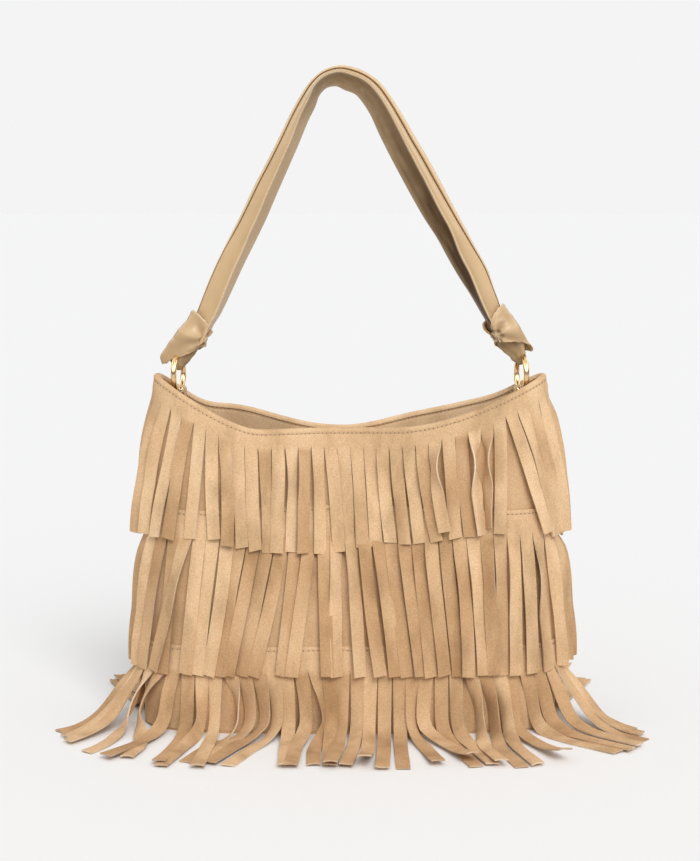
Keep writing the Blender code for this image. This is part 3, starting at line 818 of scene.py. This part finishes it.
def floor_strip(side, k, count, slit, strip):
    """Middle line of a strip that drops to the floor and runs out on it."""
    middle = (k + 0.5) / count
    top = slit(side, middle)
    start = wall_point(side, middle, top, STRIP_OFFSET)
    along, outwards = wall_directions(side, middle, top)
    outwards = Vector((outwards.x, outwards.y, 0)).normalized()
    along = Vector((along.x, along.y, 0)).normalized()
    heading = math.radians(strip.heading)
    run = outwards * math.cos(heading) + along * math.sin(heading)
    low = BAND_OFFSET + strip.layer * FLOOR_LAYER_STEP
    bow = along * strip.bow * MM
    # Height, distance from the wall, reach along the run, reach added by the flare, share of the bow
    places = [(0.036, 0.003, 0.001, 0.017, 0.7), (0.013, 0.005, 0.004, 0.036, 1.0),
              (low + 0.0018, 0.006, 0.018, 0.044, 0.6), (low, 0.006, 0.046, 0.042, 0.0),
              (low + strip.curl * MM * 0.4, 0.006, 0.075, 0.040, 0.0),
              (low + strip.curl * MM * 1.4, 0.006, 0.105, 0.040, 0.0)]
    knots = [start]
    for height, away, reach, flared, bowed in places:
        forth = reach + flared * strip.flare
        knots.append(start + Vector((0, 0, height - top)) + outwards * away + run * forth + bow * bowed)
    length = FLOOR_STRIP_LENGTH + strip.length * MM
    points = spaced(smooth_curve(knots, 10), length, FLOOR_STRIP_ROWS)
    alongs = []
    flat_across = Vector((-run.y, run.x, 0)) * (1 if side == FRONT else -1)
    for i in range(len(points)):
        alongs.append(along.lerp(flat_across, ease(1.6 * i / len(points))))
    return points, alongs


def floor_tier(name, side, strips):
    """The lowest tier's half: its strips hang to the floor and splay out on it."""
    shape = bmesh.new()
    tone = shape.verts.layers.float.new("tone")
    count = len(strips)

    def slit(_side, _u):
        return LOWER_SEAM - BAND_HEIGHT

    slits = band(shape, tone, side, count, lambda _side, _u: LOWER_SEAM, slit, False)
    for k, strip in enumerate(strips):
        width = half_girth(LOWER_SEAM) / count - STRIP_GAP
        strip.layer = k % 3
        points, alongs = floor_strip(side, k, count, slit, strip)
        sections = sections_along(points, alongs, strip, width, 0.12)
        join_strip(shape, tone, slits, k, sections, side, strip)
    obj = finish_tier(name, shape)
    lowest = min(v.co.z for v in obj.data.vertices)
    for vert in obj.data.vertices:
        if vert.co.z < FLOOR_CLEARANCE:
            vert.co.z = FLOOR_CLEARANCE + (vert.co.z - lowest) * 0.02
    return obj


# How the front's strips hang, from left to right: the tips' lean to the right and drop in millimetres,
# turns and headings in degrees. A dictionary names single strips by their number, and chance sets the rest
TOP_LEANS = [0, -4, -7, -6, -5, 2, 11, 10, 10, 9, 8, 2, 3, 0, 4, 9, 4, 5, 5, 6, 7, 7, 10, 6, 1, 1, -2, -8,
             -11, 20, 18, 18, 7, 1]
TOP_DROPS = [-5, -5, -6, -4, -4, -5, -5, 0, 3, 6, 9, 9, 10, 12, 12, 12, 9, 8, 6, 3, 3, 2, -2, -10, -6, -7,
             -8, -14, -10, -8, -5, -4, -5, -4]
TOP_TWISTS = {2: -50, 4: -20, 7: 30, 9: 24, 11: 27, 12: -22, 13: -18, 14: -24, 16: 22, 17: -20, 19: -24,
              20: -18, 21: -20, 22: -27, 23: 45, 24: -22, 26: -75, 27: 80, 28: 22, 29: 20, 30: -22}
TOP_LAYERS = {4: 1, 7: 1, 9: 1, 15: 1, 23: 2, 29: 1}
TOP_TIP_TWISTS = {2: -20, 4: -10, 9: 12, 13: -10, 14: -14, 17: -12, 19: -14, 21: -12, 24: -10, 26: -55,
                  27: 62}
MIDDLE_LEANS = [-4, -6, -6, -8, 1, -20, -3, -6, -9, -12, -17, -18, -21, -9, -13, 6, 1, 9, 14, 14, 12, 11,
                7, 6, 6, 1, 2, -2, -7, -9, -6, -2, 2, 7, 9]
MIDDLE_LAYERS = dict(enumerate([0, 1, 0, 1, 0, 2, 1, 0, 1, 0, 1, 0, 1, 0, 1, 1, 0, 1, 2, 1, 0, 1, 0, 1,
                                0, 1, 0, 0, 1, 0, 1, 0, 1, 2, 3]))
MIDDLE_TWISTS = {2: -30, 5: 24, 9: 20, 11: 22, 16: -34, 17: -30, 18: -22, 19: -26, 20: -20, 21: -28, 22: -18,
                 23: -24, 25: -26, 26: -30, 27: 40, 28: -22, 29: -20, 31: -40}
MIDDLE_TIP_TWISTS = {5: 14, 9: 10, 11: 12, 16: -26, 17: -24, 18: -14, 19: -18, 20: -12, 21: -20, 22: -12,
                     23: -16, 25: -18, 26: -12, 27: 22}
FLOOR_HEADINGS = [40, 40, 24, 14, 16, -12, 4, -6, 2, -18, -20, -22, -21, 1, -4, 0, 1, -6, -6, -4, -2, 1, 12,
                  22, 14, 14, 8, 8, 6, 10, 30, 20, 4, -14, -32, -46]
FLOOR_BOWS = {2: -4, 3: -9, 4: -19, 5: -7, 9: 9, 10: 7, 11: 7, 12: 6, 13: 2, 14: 5, 15: 9, 16: 2, 22: -3,
              23: -5, 26: 8, 27: 8, 28: 7, 30: 6, 31: 3}
FLOOR_TWISTS = {1: 24, 3: 66, 4: 74, 5: -34, 7: -66, 8: 34, 9: 74, 10: 30, 11: 30, 12: 26, 14: -30,
                15: -74, 17: 26, 19: -30, 20: 24, 22: -34, 24: 34, 25: 36, 26: 68, 27: 64, 28: 50,
                30: 68, 31: 40, 32: 30}
FLOOR_CURLS = {19: 9, 23: 8, 29: 9, 17: 3, 18: 3, 6: 4, 26: 3}


def front_strips(seed, leans, drops, twists, tip_twists, layers, painted_shade_shift):
    dice = random.Random(seed)
    strips = []
    for k, lean in enumerate(leans):
        strip = Strip(dice)
        strip.lean = lean
        strip.drop = (drops[k] if drops else 0) + 0.4 * strip.drop
        strip.twist_top = twists.get(k, 0.35 * strip.twist_top)
        strip.twist_tip = tip_twists.get(k, 0.6 * strip.twist_tip)
        strip.layer = layers.get(k, 0)
        strip.tone = clamp(strip.tone + painted_shade_shift)
        strip.stand += 1.2 * max(0, 4 - min(k, len(leans) - 1 - k))
        strips.append(strip)
    return strips


def floor_strips(seed, headings, bows, twists, curls):
    dice = random.Random(seed)
    strips = []
    for k, heading in enumerate(headings):
        strip = Strip(dice)
        strip.heading = heading
        strip.bow = bows.get(k, 1.5 * strip.bow)
        strip.twist_top = twists.get(k, 0.5 * strip.twist_top)
        strip.twist_tip = 0.0
        strip.curl = curls.get(k, 0.4 * strip.curl)
        strip.tone = clamp(strip.tone + FLOOR_PAINTED_SHADE_SHIFT)
        strip.flare = ease(1.25 - min(k, len(headings) - 1 - k) / 4)
        strip.length -= FLARE_SHORTENING * strip.flare
        strips.append(strip)
    return strips


def chance_strips(seed, count):
    """Strips of the bag's back, which hang by chance, with neighbours leaning alike."""
    dice = random.Random(seed)
    strips = [Strip(dice) for _ in range(count)]
    lean = 0.0
    for k, strip in enumerate(strips):
        strip.stand += 1.5 * max(0, 3 - min(k, count - 1 - k))
        lean = 0.75 * lean + dice.gauss(0, 4.0)
        strip.lean = lean
        if dice.random() < 0.12:
            strip.twist_top = dice.choice((-70, 60))
    for k, heading in enumerate((78, 60, 42, 24, 10)):
        strips[k].heading = heading
        strips[count - 1 - k].heading = -heading
    return strips


def fringe():
    """All three tiers, front and back halves, under the names of the nodes that they replace."""
    def rim_slit(side, u):
        return rim_at(side, u) - RIM_BAND_HEIGHT

    def middle_top(_side, _u):
        return MIDDLE_SEAM

    def middle_slit(_side, _u):
        return MIDDLE_SEAM - BAND_HEIGHT

    strips = {
        FRONT: (front_strips(3, TOP_LEANS, TOP_DROPS, TOP_TWISTS, TOP_TIP_TWISTS, TOP_LAYERS,
                             TOP_PAINTED_SHADE_SHIFT),
                front_strips(5, MIDDLE_LEANS, None, MIDDLE_TWISTS, MIDDLE_TIP_TWISTS, MIDDLE_LAYERS,
                             MIDDLE_PAINTED_SHADE_SHIFT),
                floor_strips(8, FLOOR_HEADINGS, FLOOR_BOWS, FLOOR_TWISTS, FLOOR_CURLS)),
        BACK: (chance_strips(21, TOP_STRIPS), chance_strips(22, MIDDLE_STRIPS),
               chance_strips(23, BOTTOM_STRIPS)),
    }
    made = {}
    for side, word in SIDES:
        top, middle, bottom = strips[side]
        made[f"fringe_top_{word}"] = hanging_tier(
            f"top_fringe_{word}", side, rim_at, rim_slit, TOP_HEM, top, True)
        made[f"fringe_middle_{word}"] = hanging_tier(
            f"middle_fringe_{word}", side, middle_top, middle_slit, MIDDLE_HEM, middle, False)
        made[f"fringe_bottom_{word}"] = floor_tier(f"bottom_fringe_{word}", side, bottom)
    return made


# Stitching

def hexagon(shape, centre, first, second, radius):
    """Six verts round a centre, in the plane of two directions."""
    return [shape.verts.new(centre + (first * math.cos(a) + second * math.sin(a)) * radius) for a in HEXAGON]


def stitch_line(name, side, height, offset):
    """Stitches along a line of the wall, each a small thread arch with a needle hole at its end, a shallow
    dimple coloured dark as painted shade.
    """
    shape = bmesh.new()
    count = round(half_girth(0.25) / STITCH_PITCH)
    inner = offset < 0
    for i in range(1, count - 1):
        u0, u1 = (i + 0.16) / count, (i + 0.80) / count
        start = wall_point(side, u0, height(side, u0), offset)
        end = wall_point(side, u1, height(side, u1), offset)
        _, outwards = wall_directions(side, (u0 + u1) / 2, height(side, (u0 + u1) / 2))
        outwards = -outwards if inner else outwards
        direction = (end - start).normalized()
        up = outwards.cross(direction).normalized()
        rings = []
        for share, lift, radius in STITCH_ARCH:
            rings.append(hexagon(shape, start.lerp(end, share) + outwards * lift, up, outwards, radius))
        for a, b in zip(rings, rings[1:]):
            for j in range(6):
                shape.faces.new((a[j], b[j], b[(j + 1) % 6], a[(j + 1) % 6]))
        close_ends(shape, rings)
        hole = start.lerp(end, 1.28) + outwards * 0.00018
        rim = hexagon(shape, hole, up, direction, 0.00042 if inner else 0.00060)
        centre = shape.verts.new(hole - outwards * 0.0003)
        for j in range(6):
            shape.faces.new((rim[j], rim[(j + 1) % 6], centre)).material_index = 1
    bmesh.ops.recalc_face_normals(shape, faces=shape.faces)
    obj = new_object(name, shape, [thread, needle_hole_painted_shade])
    smooth(obj, 60)
    return obj


def stitching():
    def rim_line(side, u):
        return rim_at(side, u) - STITCH_DROP

    made = []
    for side, word in SIDES:
        made.append(stitch_line(f"rim_stitches_{word}", side, rim_line, SUEDE + 0.0005))
        made.append(stitch_line(f"facing_stitches_{word}", side, rim_line, -LAYERS_INSIDE - 0.0002))
        for level, seam in (("middle", MIDDLE_SEAM), ("bottom", LOWER_SEAM)):
            made.append(stitch_line(f"{level}_seam_stitches_{word}", side,
                                    lambda _side, _u, z=seam: z - STITCH_DROP, SUEDE + 0.0003))
    return made


# Rings, tabs and strap

RING_CENTRE_X = 0.155
RING_CENTRE_Z = 0.316
RING_RADIUS = 0.0165
RING_WIRE = 0.005
RING_TURN = math.radians(10)
STRAP_DEPTH = 0.024
STRAP_TOP = 0.53


def ring(name, end):
    """Round ring of gold-plated wire, standing across the bag and turned slightly outwards."""
    deselect_all()
    bpy.ops.mesh.primitive_torus_add(
        major_segments=72, minor_segments=20, major_radius=RING_RADIUS, minor_radius=RING_WIRE / 2)
    obj = bpy.context.object
    obj.name = name
    turn = Matrix.Rotation(end * RING_TURN, 4, "Z") @ Matrix.Rotation(math.pi / 2, 4, "Y")
    obj.data.transform(Matrix.Translation((end * RING_CENTRE_X, 0, RING_CENTRE_Z)) @ turn)
    obj.data.materials.append(gold)
    obj.data.shade_smooth()
    return obj


def ring_tab(name, node_name):
    """The leather tab that holds a ring: the frame's solid with rounded edges."""
    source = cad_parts[node_name]
    mesh = source.data.copy()
    mesh.transform(source.matrix_world)
    shape = bmesh.new()
    shape.from_mesh(mesh)
    bmesh.ops.remove_doubles(shape, verts=shape.verts, dist=1e-5)
    bmesh.ops.dissolve_limit(shape, angle_limit=math.radians(2), verts=shape.verts, edges=shape.edges)
    obj = new_object(name, shape, [tab_leather])
    add_bevel(obj, 0.0004, 2, 40)
    apply_modifiers(obj)
    smooth(obj)
    return obj


# Edges of the strap in the photo, in pixels: outer edge, then inner edge, from the left knot over the
# top to the right knot
STRAP_EDGES = [
    ((186, 338), (204, 345)), ((194, 319), (213, 326)), ((199, 306), (221, 313)),
    ((210, 278), (233, 288)), ((219, 258), (243, 266)), ((230, 236), (254, 244)),
    ((242, 212), (266, 219)), ((254, 186), (278, 191)), ((266, 163), (289, 166)),
    ((278, 139), (299, 143)), ((290, 114), (308, 121)), ((301, 94), (315, 107)), ((311, 80), (319, 96)),
    ((323, 70), (326, 88)), ((339, 65), (336, 86)), ((354, 67), (345, 90)), ((368, 73), (355, 94)),
    ((380, 82), (363, 103)), ((391, 96), (371, 116)), ((403, 115), (379, 134)), ((415, 136), (389, 154)),
    ((428, 158), (400, 175)), ((440, 180), (412, 197)), ((452, 203), (424, 218)), ((465, 227), (437, 238)),
    ((476, 248), (448, 258)), ((487, 268), (459, 277)), ((494, 288), (470, 294)), ((500, 305), (480, 311)),
    ((503, 318), (488, 325)), ((510, 338), (497, 343)),
]

# Along the strap: share, width of the outer lip, second lip, place of the crease, painted shade inside it
STRAP_FOLDS = [
    (0.00, 0.02, 0.0, 0.86, 0.06), (0.14, 0.03, 0.0, 0.74, 0.08), (0.20, 0.09, 0.0, 0.66, 0.11),
    (0.26, 0.12, 0.0, 0.63, 0.15), (0.33, 0.14, 0.2, 0.60, 0.22), (0.41, 0.15, 0.7, 0.50, 0.40),
    (0.45, 0.15, 1.0, 0.40, 0.55), (0.50, 0.15, 1.0, 0.34, 0.58), (0.60, 0.15, 1.0, 0.35, 0.62),
    (0.71, 0.15, 0.9, 0.41, 0.78), (0.79, 0.12, 0.3, 0.45, 0.92), (0.87, 0.06, 0.0, 0.60, 1.00),
    (0.96, 0.02, 0.0, 0.77, 1.00), (1.00, 0.02, 0.0, 0.84, 1.00),
]


def from_photo(pixel, y):
    """Point at depth y that the photo shows at a pixel."""
    right = (pixel[0] - IMAGE_MIDDLE[0]) / FOCAL_PIXELS
    up = (IMAGE_MIDDLE[1] - pixel[1]) / FOCAL_PIXELS
    forward = math.cos(CAMERA_TILT) + up * math.sin(CAMERA_TILT)
    rise = up * math.cos(CAMERA_TILT) - math.sin(CAMERA_TILT)
    reach = (y - CAMERA_PLACE.y) / forward
    return Vector((right * reach, y, CAMERA_PLACE.z + rise * reach))


def between(rows, share):
    """Values of a table at a share along it, blended smoothly between its rows."""
    for first, second in zip(rows, rows[1:]):
        if share <= second[0]:
            part = ease((share - first[0]) / (second[0] - first[0]))
            return [a + (b - a) * part for a, b in zip(first[1:], second[1:])]
    return list(rows[-1][1:])


def strap_section(share):
    """Section of the folded strap: (share across, depth to the front, painted shade, painted highlight) of
    each point.

    From the outer edge come a rolled lip, a groove, near the top a second lip, the broad face,
    a crease, and the inner face that turns away from the front.
    """
    lip, second, crease, dark = between(STRAP_FOLDS, share)
    groove = 0.75 * ease(lip / 0.10)
    low = lip + 0.035
    face = crease - low
    # Painted highlights lie on the lips, the second lip and the crease; painted shade darkens the face
    # towards the crease, the inner face and the back.
    points = [
        (0.000, -0.08, 0.05, 0.0), (0.004, 0.02, 0.0, 0.1), (lip * 0.25 + 0.004, 0.09, 0.0, 0.45),
        (lip * 0.60 + 0.006, 0.12, 0.0, 0.40), (lip * 0.88 + 0.008, 0.10, 0.1 * groove, 0.1),
        (lip + 0.012, 0.05 - 0.02 * groove, groove, 0.0), (lip + 0.022, 0.06, 0.8 * groove, 0.0),
        (low, 0.13, 0.05, 0.15),
    ]
    for step in (0.12, 0.26, 0.42, 0.58, 0.74, 0.88):
        swell = 0.13 + 0.30 * math.sin(math.pi / 2 * step)
        bright = 0.30 * second * bell(step, 0.35, 0.25)
        points.append((low + face * step, swell, (0.10 + 0.22 * dark) * step**2, bright))
    points += [
        (crease - 0.018, 0.455, 0.0, 0.15), (crease, 0.47, 0.0, 0.55),
        (crease + 0.018, 0.44, 0.25 * dark, 0.30), (crease + 0.045, 0.36, 0.95 * dark, 0.0),
    ]
    inner = 1 - crease - 0.045
    for step, depth, part in ((0.18, 0.24, 1.0), (0.36, 0.13, 0.92), (0.54, 0.02, 0.82), (0.72, -0.09, 0.74),
                              (0.88, -0.20, 0.62), (0.97, -0.29, 0.5)):
        points.append((crease + 0.045 + inner * step, depth, part * dark, 0.0))
    points += [
        (1.0, -0.38, 0.4, 0.0), (0.97, -0.46, 0.4, 0.0), (0.84, -0.51, 0.4, 0.0), (0.64, -0.53, 0.3, 0.0),
        (0.42, -0.51, 0.2, 0.0), (0.22, -0.45, 0.1, 0.0), (0.08, -0.34, 0.1, 0.0), (0.015, -0.20, 0.1, 0.0),
    ]
    return points


def strap_row(shape, painted_shade, painted_highlight, share, edge, inwards):
    """Verts across the strap at a share of its length, with wrinkles where it is folded tightly."""
    top = ease(1 - abs(share - STRAP_TOP) / 0.22)
    row = []
    for p, q, dark, bright in strap_section(share):
        hidden = ease((p - 0.4) / 0.4) if q > -0.3 else 0.0
        wrinkle = noise.noise(Vector((share * 38 + p * 5, p * 7, 1.0))) * hidden * (0.3 + top) * 0.0022
        wrinkle += noise.noise(Vector((share * 110 - p * 9, p * 5, 3.0))) * hidden * top * 0.0010
        fine = noise.noise(Vector((share * 420, p * 3, 5.0))) * 0.00010 * (1 + 2 * top)
        vert = shape.verts.new(edge + inwards * p + Vector((0, -(q * STRAP_DEPTH + wrinkle + fine), 0)))
        # Painted shade of the inner face varies in streaks, and painted highlights catch its wrinkles near
        # the top.
        streak = 0.35 * noise.noise(Vector((share * 26 + p * 4, p * 9, 8.0)))
        vert[painted_shade] = clamp(1.12 * dark * (1 + streak * hidden))
        vert[painted_highlight] = clamp(bright + 0.25 * hidden * top * noise.noise(Vector((share * 60, p * 8, 6.0))))
        row.append(vert)
    return row


def leather_shape():
    """An empty bmesh with the leather's two attributes, of painted shade and of painted highlights."""
    shape = bmesh.new()
    layers = shape.verts.layers.float
    layers.new("painted_shade")
    layers.new("painted_highlight")
    return shape, layers["painted_shade"], layers["painted_highlight"]


def strap():
    """The leather strap between the knots, folded over on itself lengthwise."""
    outer, inner = [smooth_curve([from_photo(edges[i], 0.0) for edges in STRAP_EDGES], 10) for i in (0, 1)]
    length = sum((b - a).length for a, b in zip(outer, outer[1:]))
    shape, painted_shade, painted_highlight = leather_shape()
    rings = []
    run = 0.0
    for i, (edge, inside) in enumerate(zip(outer, inner)):
        run += (edge - outer[i - 1]).length if i else 0.0
        rings.append(strap_row(shape, painted_shade, painted_highlight, run / length, edge, inside - edge))
    join_rows(shape, rings, closed=True)
    close_ends(shape, rings)
    bmesh.ops.recalc_face_normals(shape, faces=shape.faces)
    obj = new_object("shoulder_strap_leather", shape, [leather])
    subdivide = obj.modifiers.new("fine", "SUBSURF")
    subdivide.levels = 1
    subdivide.render_levels = 1
    apply_modifiers(obj)
    obj.data.shade_smooth()
    return obj


# Each knot: middle and direction of its axis, then rows of height, middle and half width across it, and
# rows of angle (0 outwards, 90 to the front), lower edge and upper edge of its wrap. In millimetres
KNOT_MIDDLES = {LEFT: Vector((-0.1467, 0, 0.3480)), RIGHT: Vector((0.1424, 0, 0.3507))}
KNOT_AXES = {LEFT: Vector((0.45, 0, 0.89)), RIGHT: Vector((-0.43, 0, 0.90))}
KNOT_FORMS = {
    LEFT: [(-32, 1.5, 9.0), (-24, 2.0, 12.2), (-11, 0.2, 12.6), (-4, -1.6, 12.8), (3, -3.4, 14.0),
           (8, -3.7, 12.6), (15, -4.7, 11.8), (27, -4.7, 11.2)],
    RIGHT: [(-26, 4.0, 9.4), (-20, 3.2, 11.3), (-9, 0.8, 12.3), (2, -0.8, 13.2), (14, -2.6, 13.3),
            (20, -3.0, 12.0), (29, -2.8, 10.2)],
}
LOOP_FORMS = {
    LEFT: [(-30.0, -3.5, 2.0), (-28.5, -3.2, 4.5), (-24, -1.6, 7.6), (-17, -1.2, 9.8), (-9, -1.2, 11.6),
           (5, -2.0, 11.8), (15, -4.0, 9.6), (22, -4.5, 9.4)],
    RIGHT: [(-29.5, 0.4, 1.8), (-27.5, 0.6, 4.0), (-21, 0.9, 7.2), (-9.5, 0.3, 11.2), (2, -1.5, 12.0),
            (12, -2.5, 11.6), (22, -2.2, 9.2)],
}
WRAP_EDGES = {
    LEFT: [(0, -28.0, 24), (30, -31.0, 26), (60, -29.0, 25.5), (100, -18.5, 23), (125, -12.0, 20.5),
           (150, -4.0, 16.5), (165, 0.0, 15.5), (185, 0.0, 15.0), (215, -6.0, 16.0), (260, -16.0, 19.0),
           (310, -24.0, 22.0), (360, -28.0, 24)],
    RIGHT: [(0, -22.0, 27), (20, -16.0, 28.5), (63, -9.5, 27.0), (90, -6.2, 24.5), (109, -4.0, 21.4),
            (128, -1.5, 15.6), (141, 0.0, 9.0), (152, 0.5, 6.0), (168, -3.0, 13.0), (188, -5.0, 19.0),
            (230, -14.0, 20.0), (290, -20.0, 22.0), (330, -23.0, 24.0), (360, -22.0, 27)],
}
# Where the leather is pulled through and its creases meet: angle and height
NUBS = {LEFT: (150, 7.0), RIGHT: (131, 5.0)}


def knot_matrix(end):
    """Matrix of a knot: X outwards from the bag's middle, Y to the front, Z up its axis."""
    axis = KNOT_AXES[end].normalized()
    outwards = Vector((end * axis.z, 0, -end * axis.x))
    front = Vector((0, -1, 0))
    turn = Matrix((outwards, front, axis)).transposed().to_4x4()
    return Matrix.Translation(KNOT_MIDDLES[end]) @ turn


def knot_object(name, end, rows, closed_ends, depth):
    """A knot's piece from rows of (angle, radius, middle, height, painted shade, painted highlight)."""
    shape, painted_shade, painted_highlight = leather_shape()
    matrix = knot_matrix(end)
    rings = []
    for row in rows:
        ring_verts = []
        for angle, radius, middle, height, dark, bright in row:
            x = middle + radius * math.cos(angle)
            y = depth(height) * radius * math.sin(angle)
            vert = shape.verts.new(matrix @ (Vector((x, y, height)) * MM))
            vert[painted_shade] = clamp(dark)
            vert[painted_highlight] = clamp(bright)
            ring_verts.append(vert)
        rings.append(ring_verts)
    join_rows(shape, rings, closed=True)
    if closed_ends:
        close_ends(shape, rings)
    bmesh.ops.recalc_face_normals(shape, faces=shape.faces)
    return new_object(name, shape, [leather])


def wrap_depth(height):
    """Depth of a wrap as a share of its width: flatter below, where it has to pass the rim."""
    return 0.5 + 0.5 * ease((height + 26) / 26)


def loop_depth(height):
    return 0.58 + 0.42 * ease((height + 13) / 12)


def wrap_point(end, degrees, v):
    """A point of a knot's wrap, at an angle round it and a share v of its height.

    Creases fan out from the nub at the knot's inner front. Lengths in millimetres.
    """
    nub_degrees, nub_height = NUBS[end]
    lower, upper = between(WRAP_EDGES[end], degrees)
    h = lower + (upper - lower) * v
    middle, half = between(KNOT_FORMS[end], h)
    aside = math.radians(degrees - nub_degrees) * 13
    away = math.hypot(aside, h - nub_height)
    spread = math.atan2(h - nub_height, -aside)
    front = ease((degrees - 10) / 30) * ease((235 - degrees) / 30)
    fold = math.sin(spread * 5.5 + 0.9 + 0.03 * away) * ease(away / 6) * ease(1.5 - away / 24) * front
    broad = math.sin(spread * 2.4 + 1.2) * ease(away / 10) * front
    bump = bell(away, 0.0, 3.0)
    moat = bell(away, 4.6, 1.7)
    edge = min(v, 1 - v)
    roll = bell(edge, 0.0, 0.045)
    tuck = ease(edge / 0.02)
    radius = half + 0.85 * fold + 0.6 * broad + 1.2 * bump - 0.8 * moat + 0.7 * roll + 0.5 * tuck
    # Painted shade in the moat round the nub and the folds' hollows; painted highlights on the folds'
    # crests, the nub and the rolled upper edge.
    dark = 0.10 - 0.24 * fold - 0.10 * broad + 0.50 * moat + 0.06 * roll
    bright = 0.20 * fold + 0.45 * roll * (v > 0.5) + 0.3 * bump
    return math.radians(degrees), radius, middle, h, dark, bright


def knot_wrap(name, end):
    """The turn of leather that closes a knot: a slanting leaf-like hoop, pinched at its inner front."""
    steps, levels = 128, 48
    rows = []
    for level in range(levels + 1):
        rows.append([wrap_point(end, 360 * step / steps, level / levels) for step in range(steps)])
    obj = knot_object(name, end, rows, False, wrap_depth)
    solidify = obj.modifiers.new("thickness", "SOLIDIFY")
    solidify.thickness = 0.0017
    solidify.offset = -1.0
    add_bevel(obj, 0.0005, 3, 50)
    apply_modifiers(obj)
    obj.data.shade_smooth()
    return obj


def knot_loop(name, end):
    """The part of a knot under its wrap: the strap's end folded tightly round the ring."""
    forms = LOOP_FORMS[end]
    rows = []
    steps, levels = 80, 48
    for level in range(levels + 1):
        h = forms[0][0] + (forms[-1][0] - forms[0][0]) * (level / levels) ** 1.25
        middle, half = between(forms, h)
        row = []
        for step in range(steps):
            angle = math.tau * step / steps
            fold = math.sin(angle * 3 + h * 0.10 + 1.2 * end) * 0.45 + 0.25 * math.sin(angle * 7 - h * 0.15)
            fold *= ease((h - forms[0][0]) / 8)
            # Painted shade in the folds' hollows, deeper higher up under the wrap.
            dark = 0.38 - 0.25 * fold + 0.25 * ease((h + 14) / 10)
            row.append((angle, half + fold, middle, h, dark, 0.0))
        rows.append(row)
    obj = knot_object(name, end, rows, True, loop_depth)
    obj.data.shade_smooth()
    return obj


# Floor, light and camera

def studio_floor():
    deselect_all()
    bpy.ops.mesh.primitive_plane_add(size=60.0, location=(0, 20.0, 0))
    floor = bpy.context.object
    floor.name = "studio_floor"
    paper = {"Base Color": (0.897, 0.898, 0.899, 1.0), "Roughness": 1.0, "Specular IOR Level": 0.0}
    floor.data.materials.append(new_material("floor_paper", paper)[0])


def surroundings():
    """Soft light from above. Glossy pieces see lamps in a dark room, and the camera a pale wall."""
    world = bpy.data.worlds.new("studio")
    bpy.context.scene.world = world
    world.use_nodes = True
    tree = world.node_tree
    split = node(tree, "SeparateXYZ")
    wire(tree, (node(tree, "TexCoord"), "Generated", split, "Vector"))
    height = map_range(tree, split.outputs["Z"], 0.0, 1.0, -1.0, 1.0)
    sky = ramp(tree, height, [(0.0, 0.50), (0.52, 0.55), (1.0, 1.0)])
    lamps = ramp(tree, height, [
        (0.0, 0.75), (0.46, (0.55, 0.52, 0.50)), (0.50, (0.10, 0.08, 0.06)), (0.60, (0.16, 0.13, 0.10)),
        (0.66, 2.6), (0.78, 2.2), (0.84, (0.4, 0.38, 0.36)), (1.0, 1.2)])
    light = tree.nodes["Background"]
    light.inputs["Strength"].default_value = 0.74
    shiny = node(tree, "Background", {"Strength": 1.0})
    seen = node(tree, "Background", {"Strength": 1.0, "Color": (0.905, 0.905, 0.905, 1)})
    tree.links.new(sky, light.inputs["Color"])
    tree.links.new(lamps, shiny.inputs["Color"])
    path = node(tree, "LightPath")
    glossy = node(tree, "MixShader")
    mixed = node(tree, "MixShader")
    wire(tree, (path, "Is Glossy Ray", glossy, "Fac"), (light, "Background", glossy, 1),
         (shiny, "Background", glossy, 2), (path, "Is Camera Ray", mixed, "Fac"),
         (glossy, "Shader", mixed, 1), (seen, "Background", mixed, 2),
         (mixed, "Shader", tree.nodes["World Output"], "Surface"))


def link_object(name, data, place, turn):
    obj = bpy.data.objects.new(name, data)
    obj.location = place
    obj.rotation_euler = turn
    bpy.context.scene.collection.objects.link(obj)
    return obj


def studio():
    """Plain pale floor, soft daylight from above with a broad lamp at the right, and the camera."""
    studio_floor()
    surroundings()
    key = bpy.data.lights.new("key", "SUN")
    key.energy = 1.88
    key.angle = math.radians(32)
    link_object("key", key, (0, 0, 0), (math.radians(49), 0, math.radians(16)))
    camera = bpy.data.cameras.new("camera")
    camera.lens = 74.34
    camera.sensor_width = 36.0
    camera.clip_end = 200.0
    turn = (math.radians(90) - CAMERA_TILT, 0, 0)
    bpy.context.scene.camera = link_object("camera", camera, CAMERA_PLACE, turn)
    bpy.context.scene.view_settings.view_transform = "Standard"


def declare(piece, body, slot, *nodes):
    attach(piece, body)
    if nodes:
        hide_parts(*nodes)


def dress_bag():
    studio()
    for side, word in SIDES:
        wall = panel(f"suede_panel_{word}", side)
        declare(wall, "bag", "suede", f"{word}_panel")
        inside = facing(f"mouth_facing_{word}", side)
        declare(inside, "bag", "suede", f"{word}_facing")
    cloth = lining()
    declare(cloth, "bag", "lining_cloth", "lining")
    for node_name, piece in fringe().items():
        declare(piece, "bag", "suede", node_name)
        _, tier, word = node_name.split("_")
    for line in stitching():
        declare(line, "bag", "suede")
    for end, word in ENDS:
        declare(ring(f"gold_ring_{word}", end), "handle", "gold_metal", f"ring_{word}")
        tab_node = f"ring_tab_{word}"
        declare(ring_tab(f"leather_tab_{word}", tab_node), "bag", "strap_leather", tab_node)
        declare(knot_wrap(f"knot_wrap_{word}", end), "handle", "strap_leather")
        declare(knot_loop(f"knot_loop_{word}", end), "handle", "strap_leather")
    declare(strap(), "handle", "strap_leather", "shoulder_strap")
    finishes = {"base_panel": inner_suede_painted_light, "base_board": board_fibre, "snap_stud": gold, "snap_socket": gold}
    for node_name, material in finishes.items():
        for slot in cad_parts[node_name].material_slots:
            slot.material = material


dress_bag()
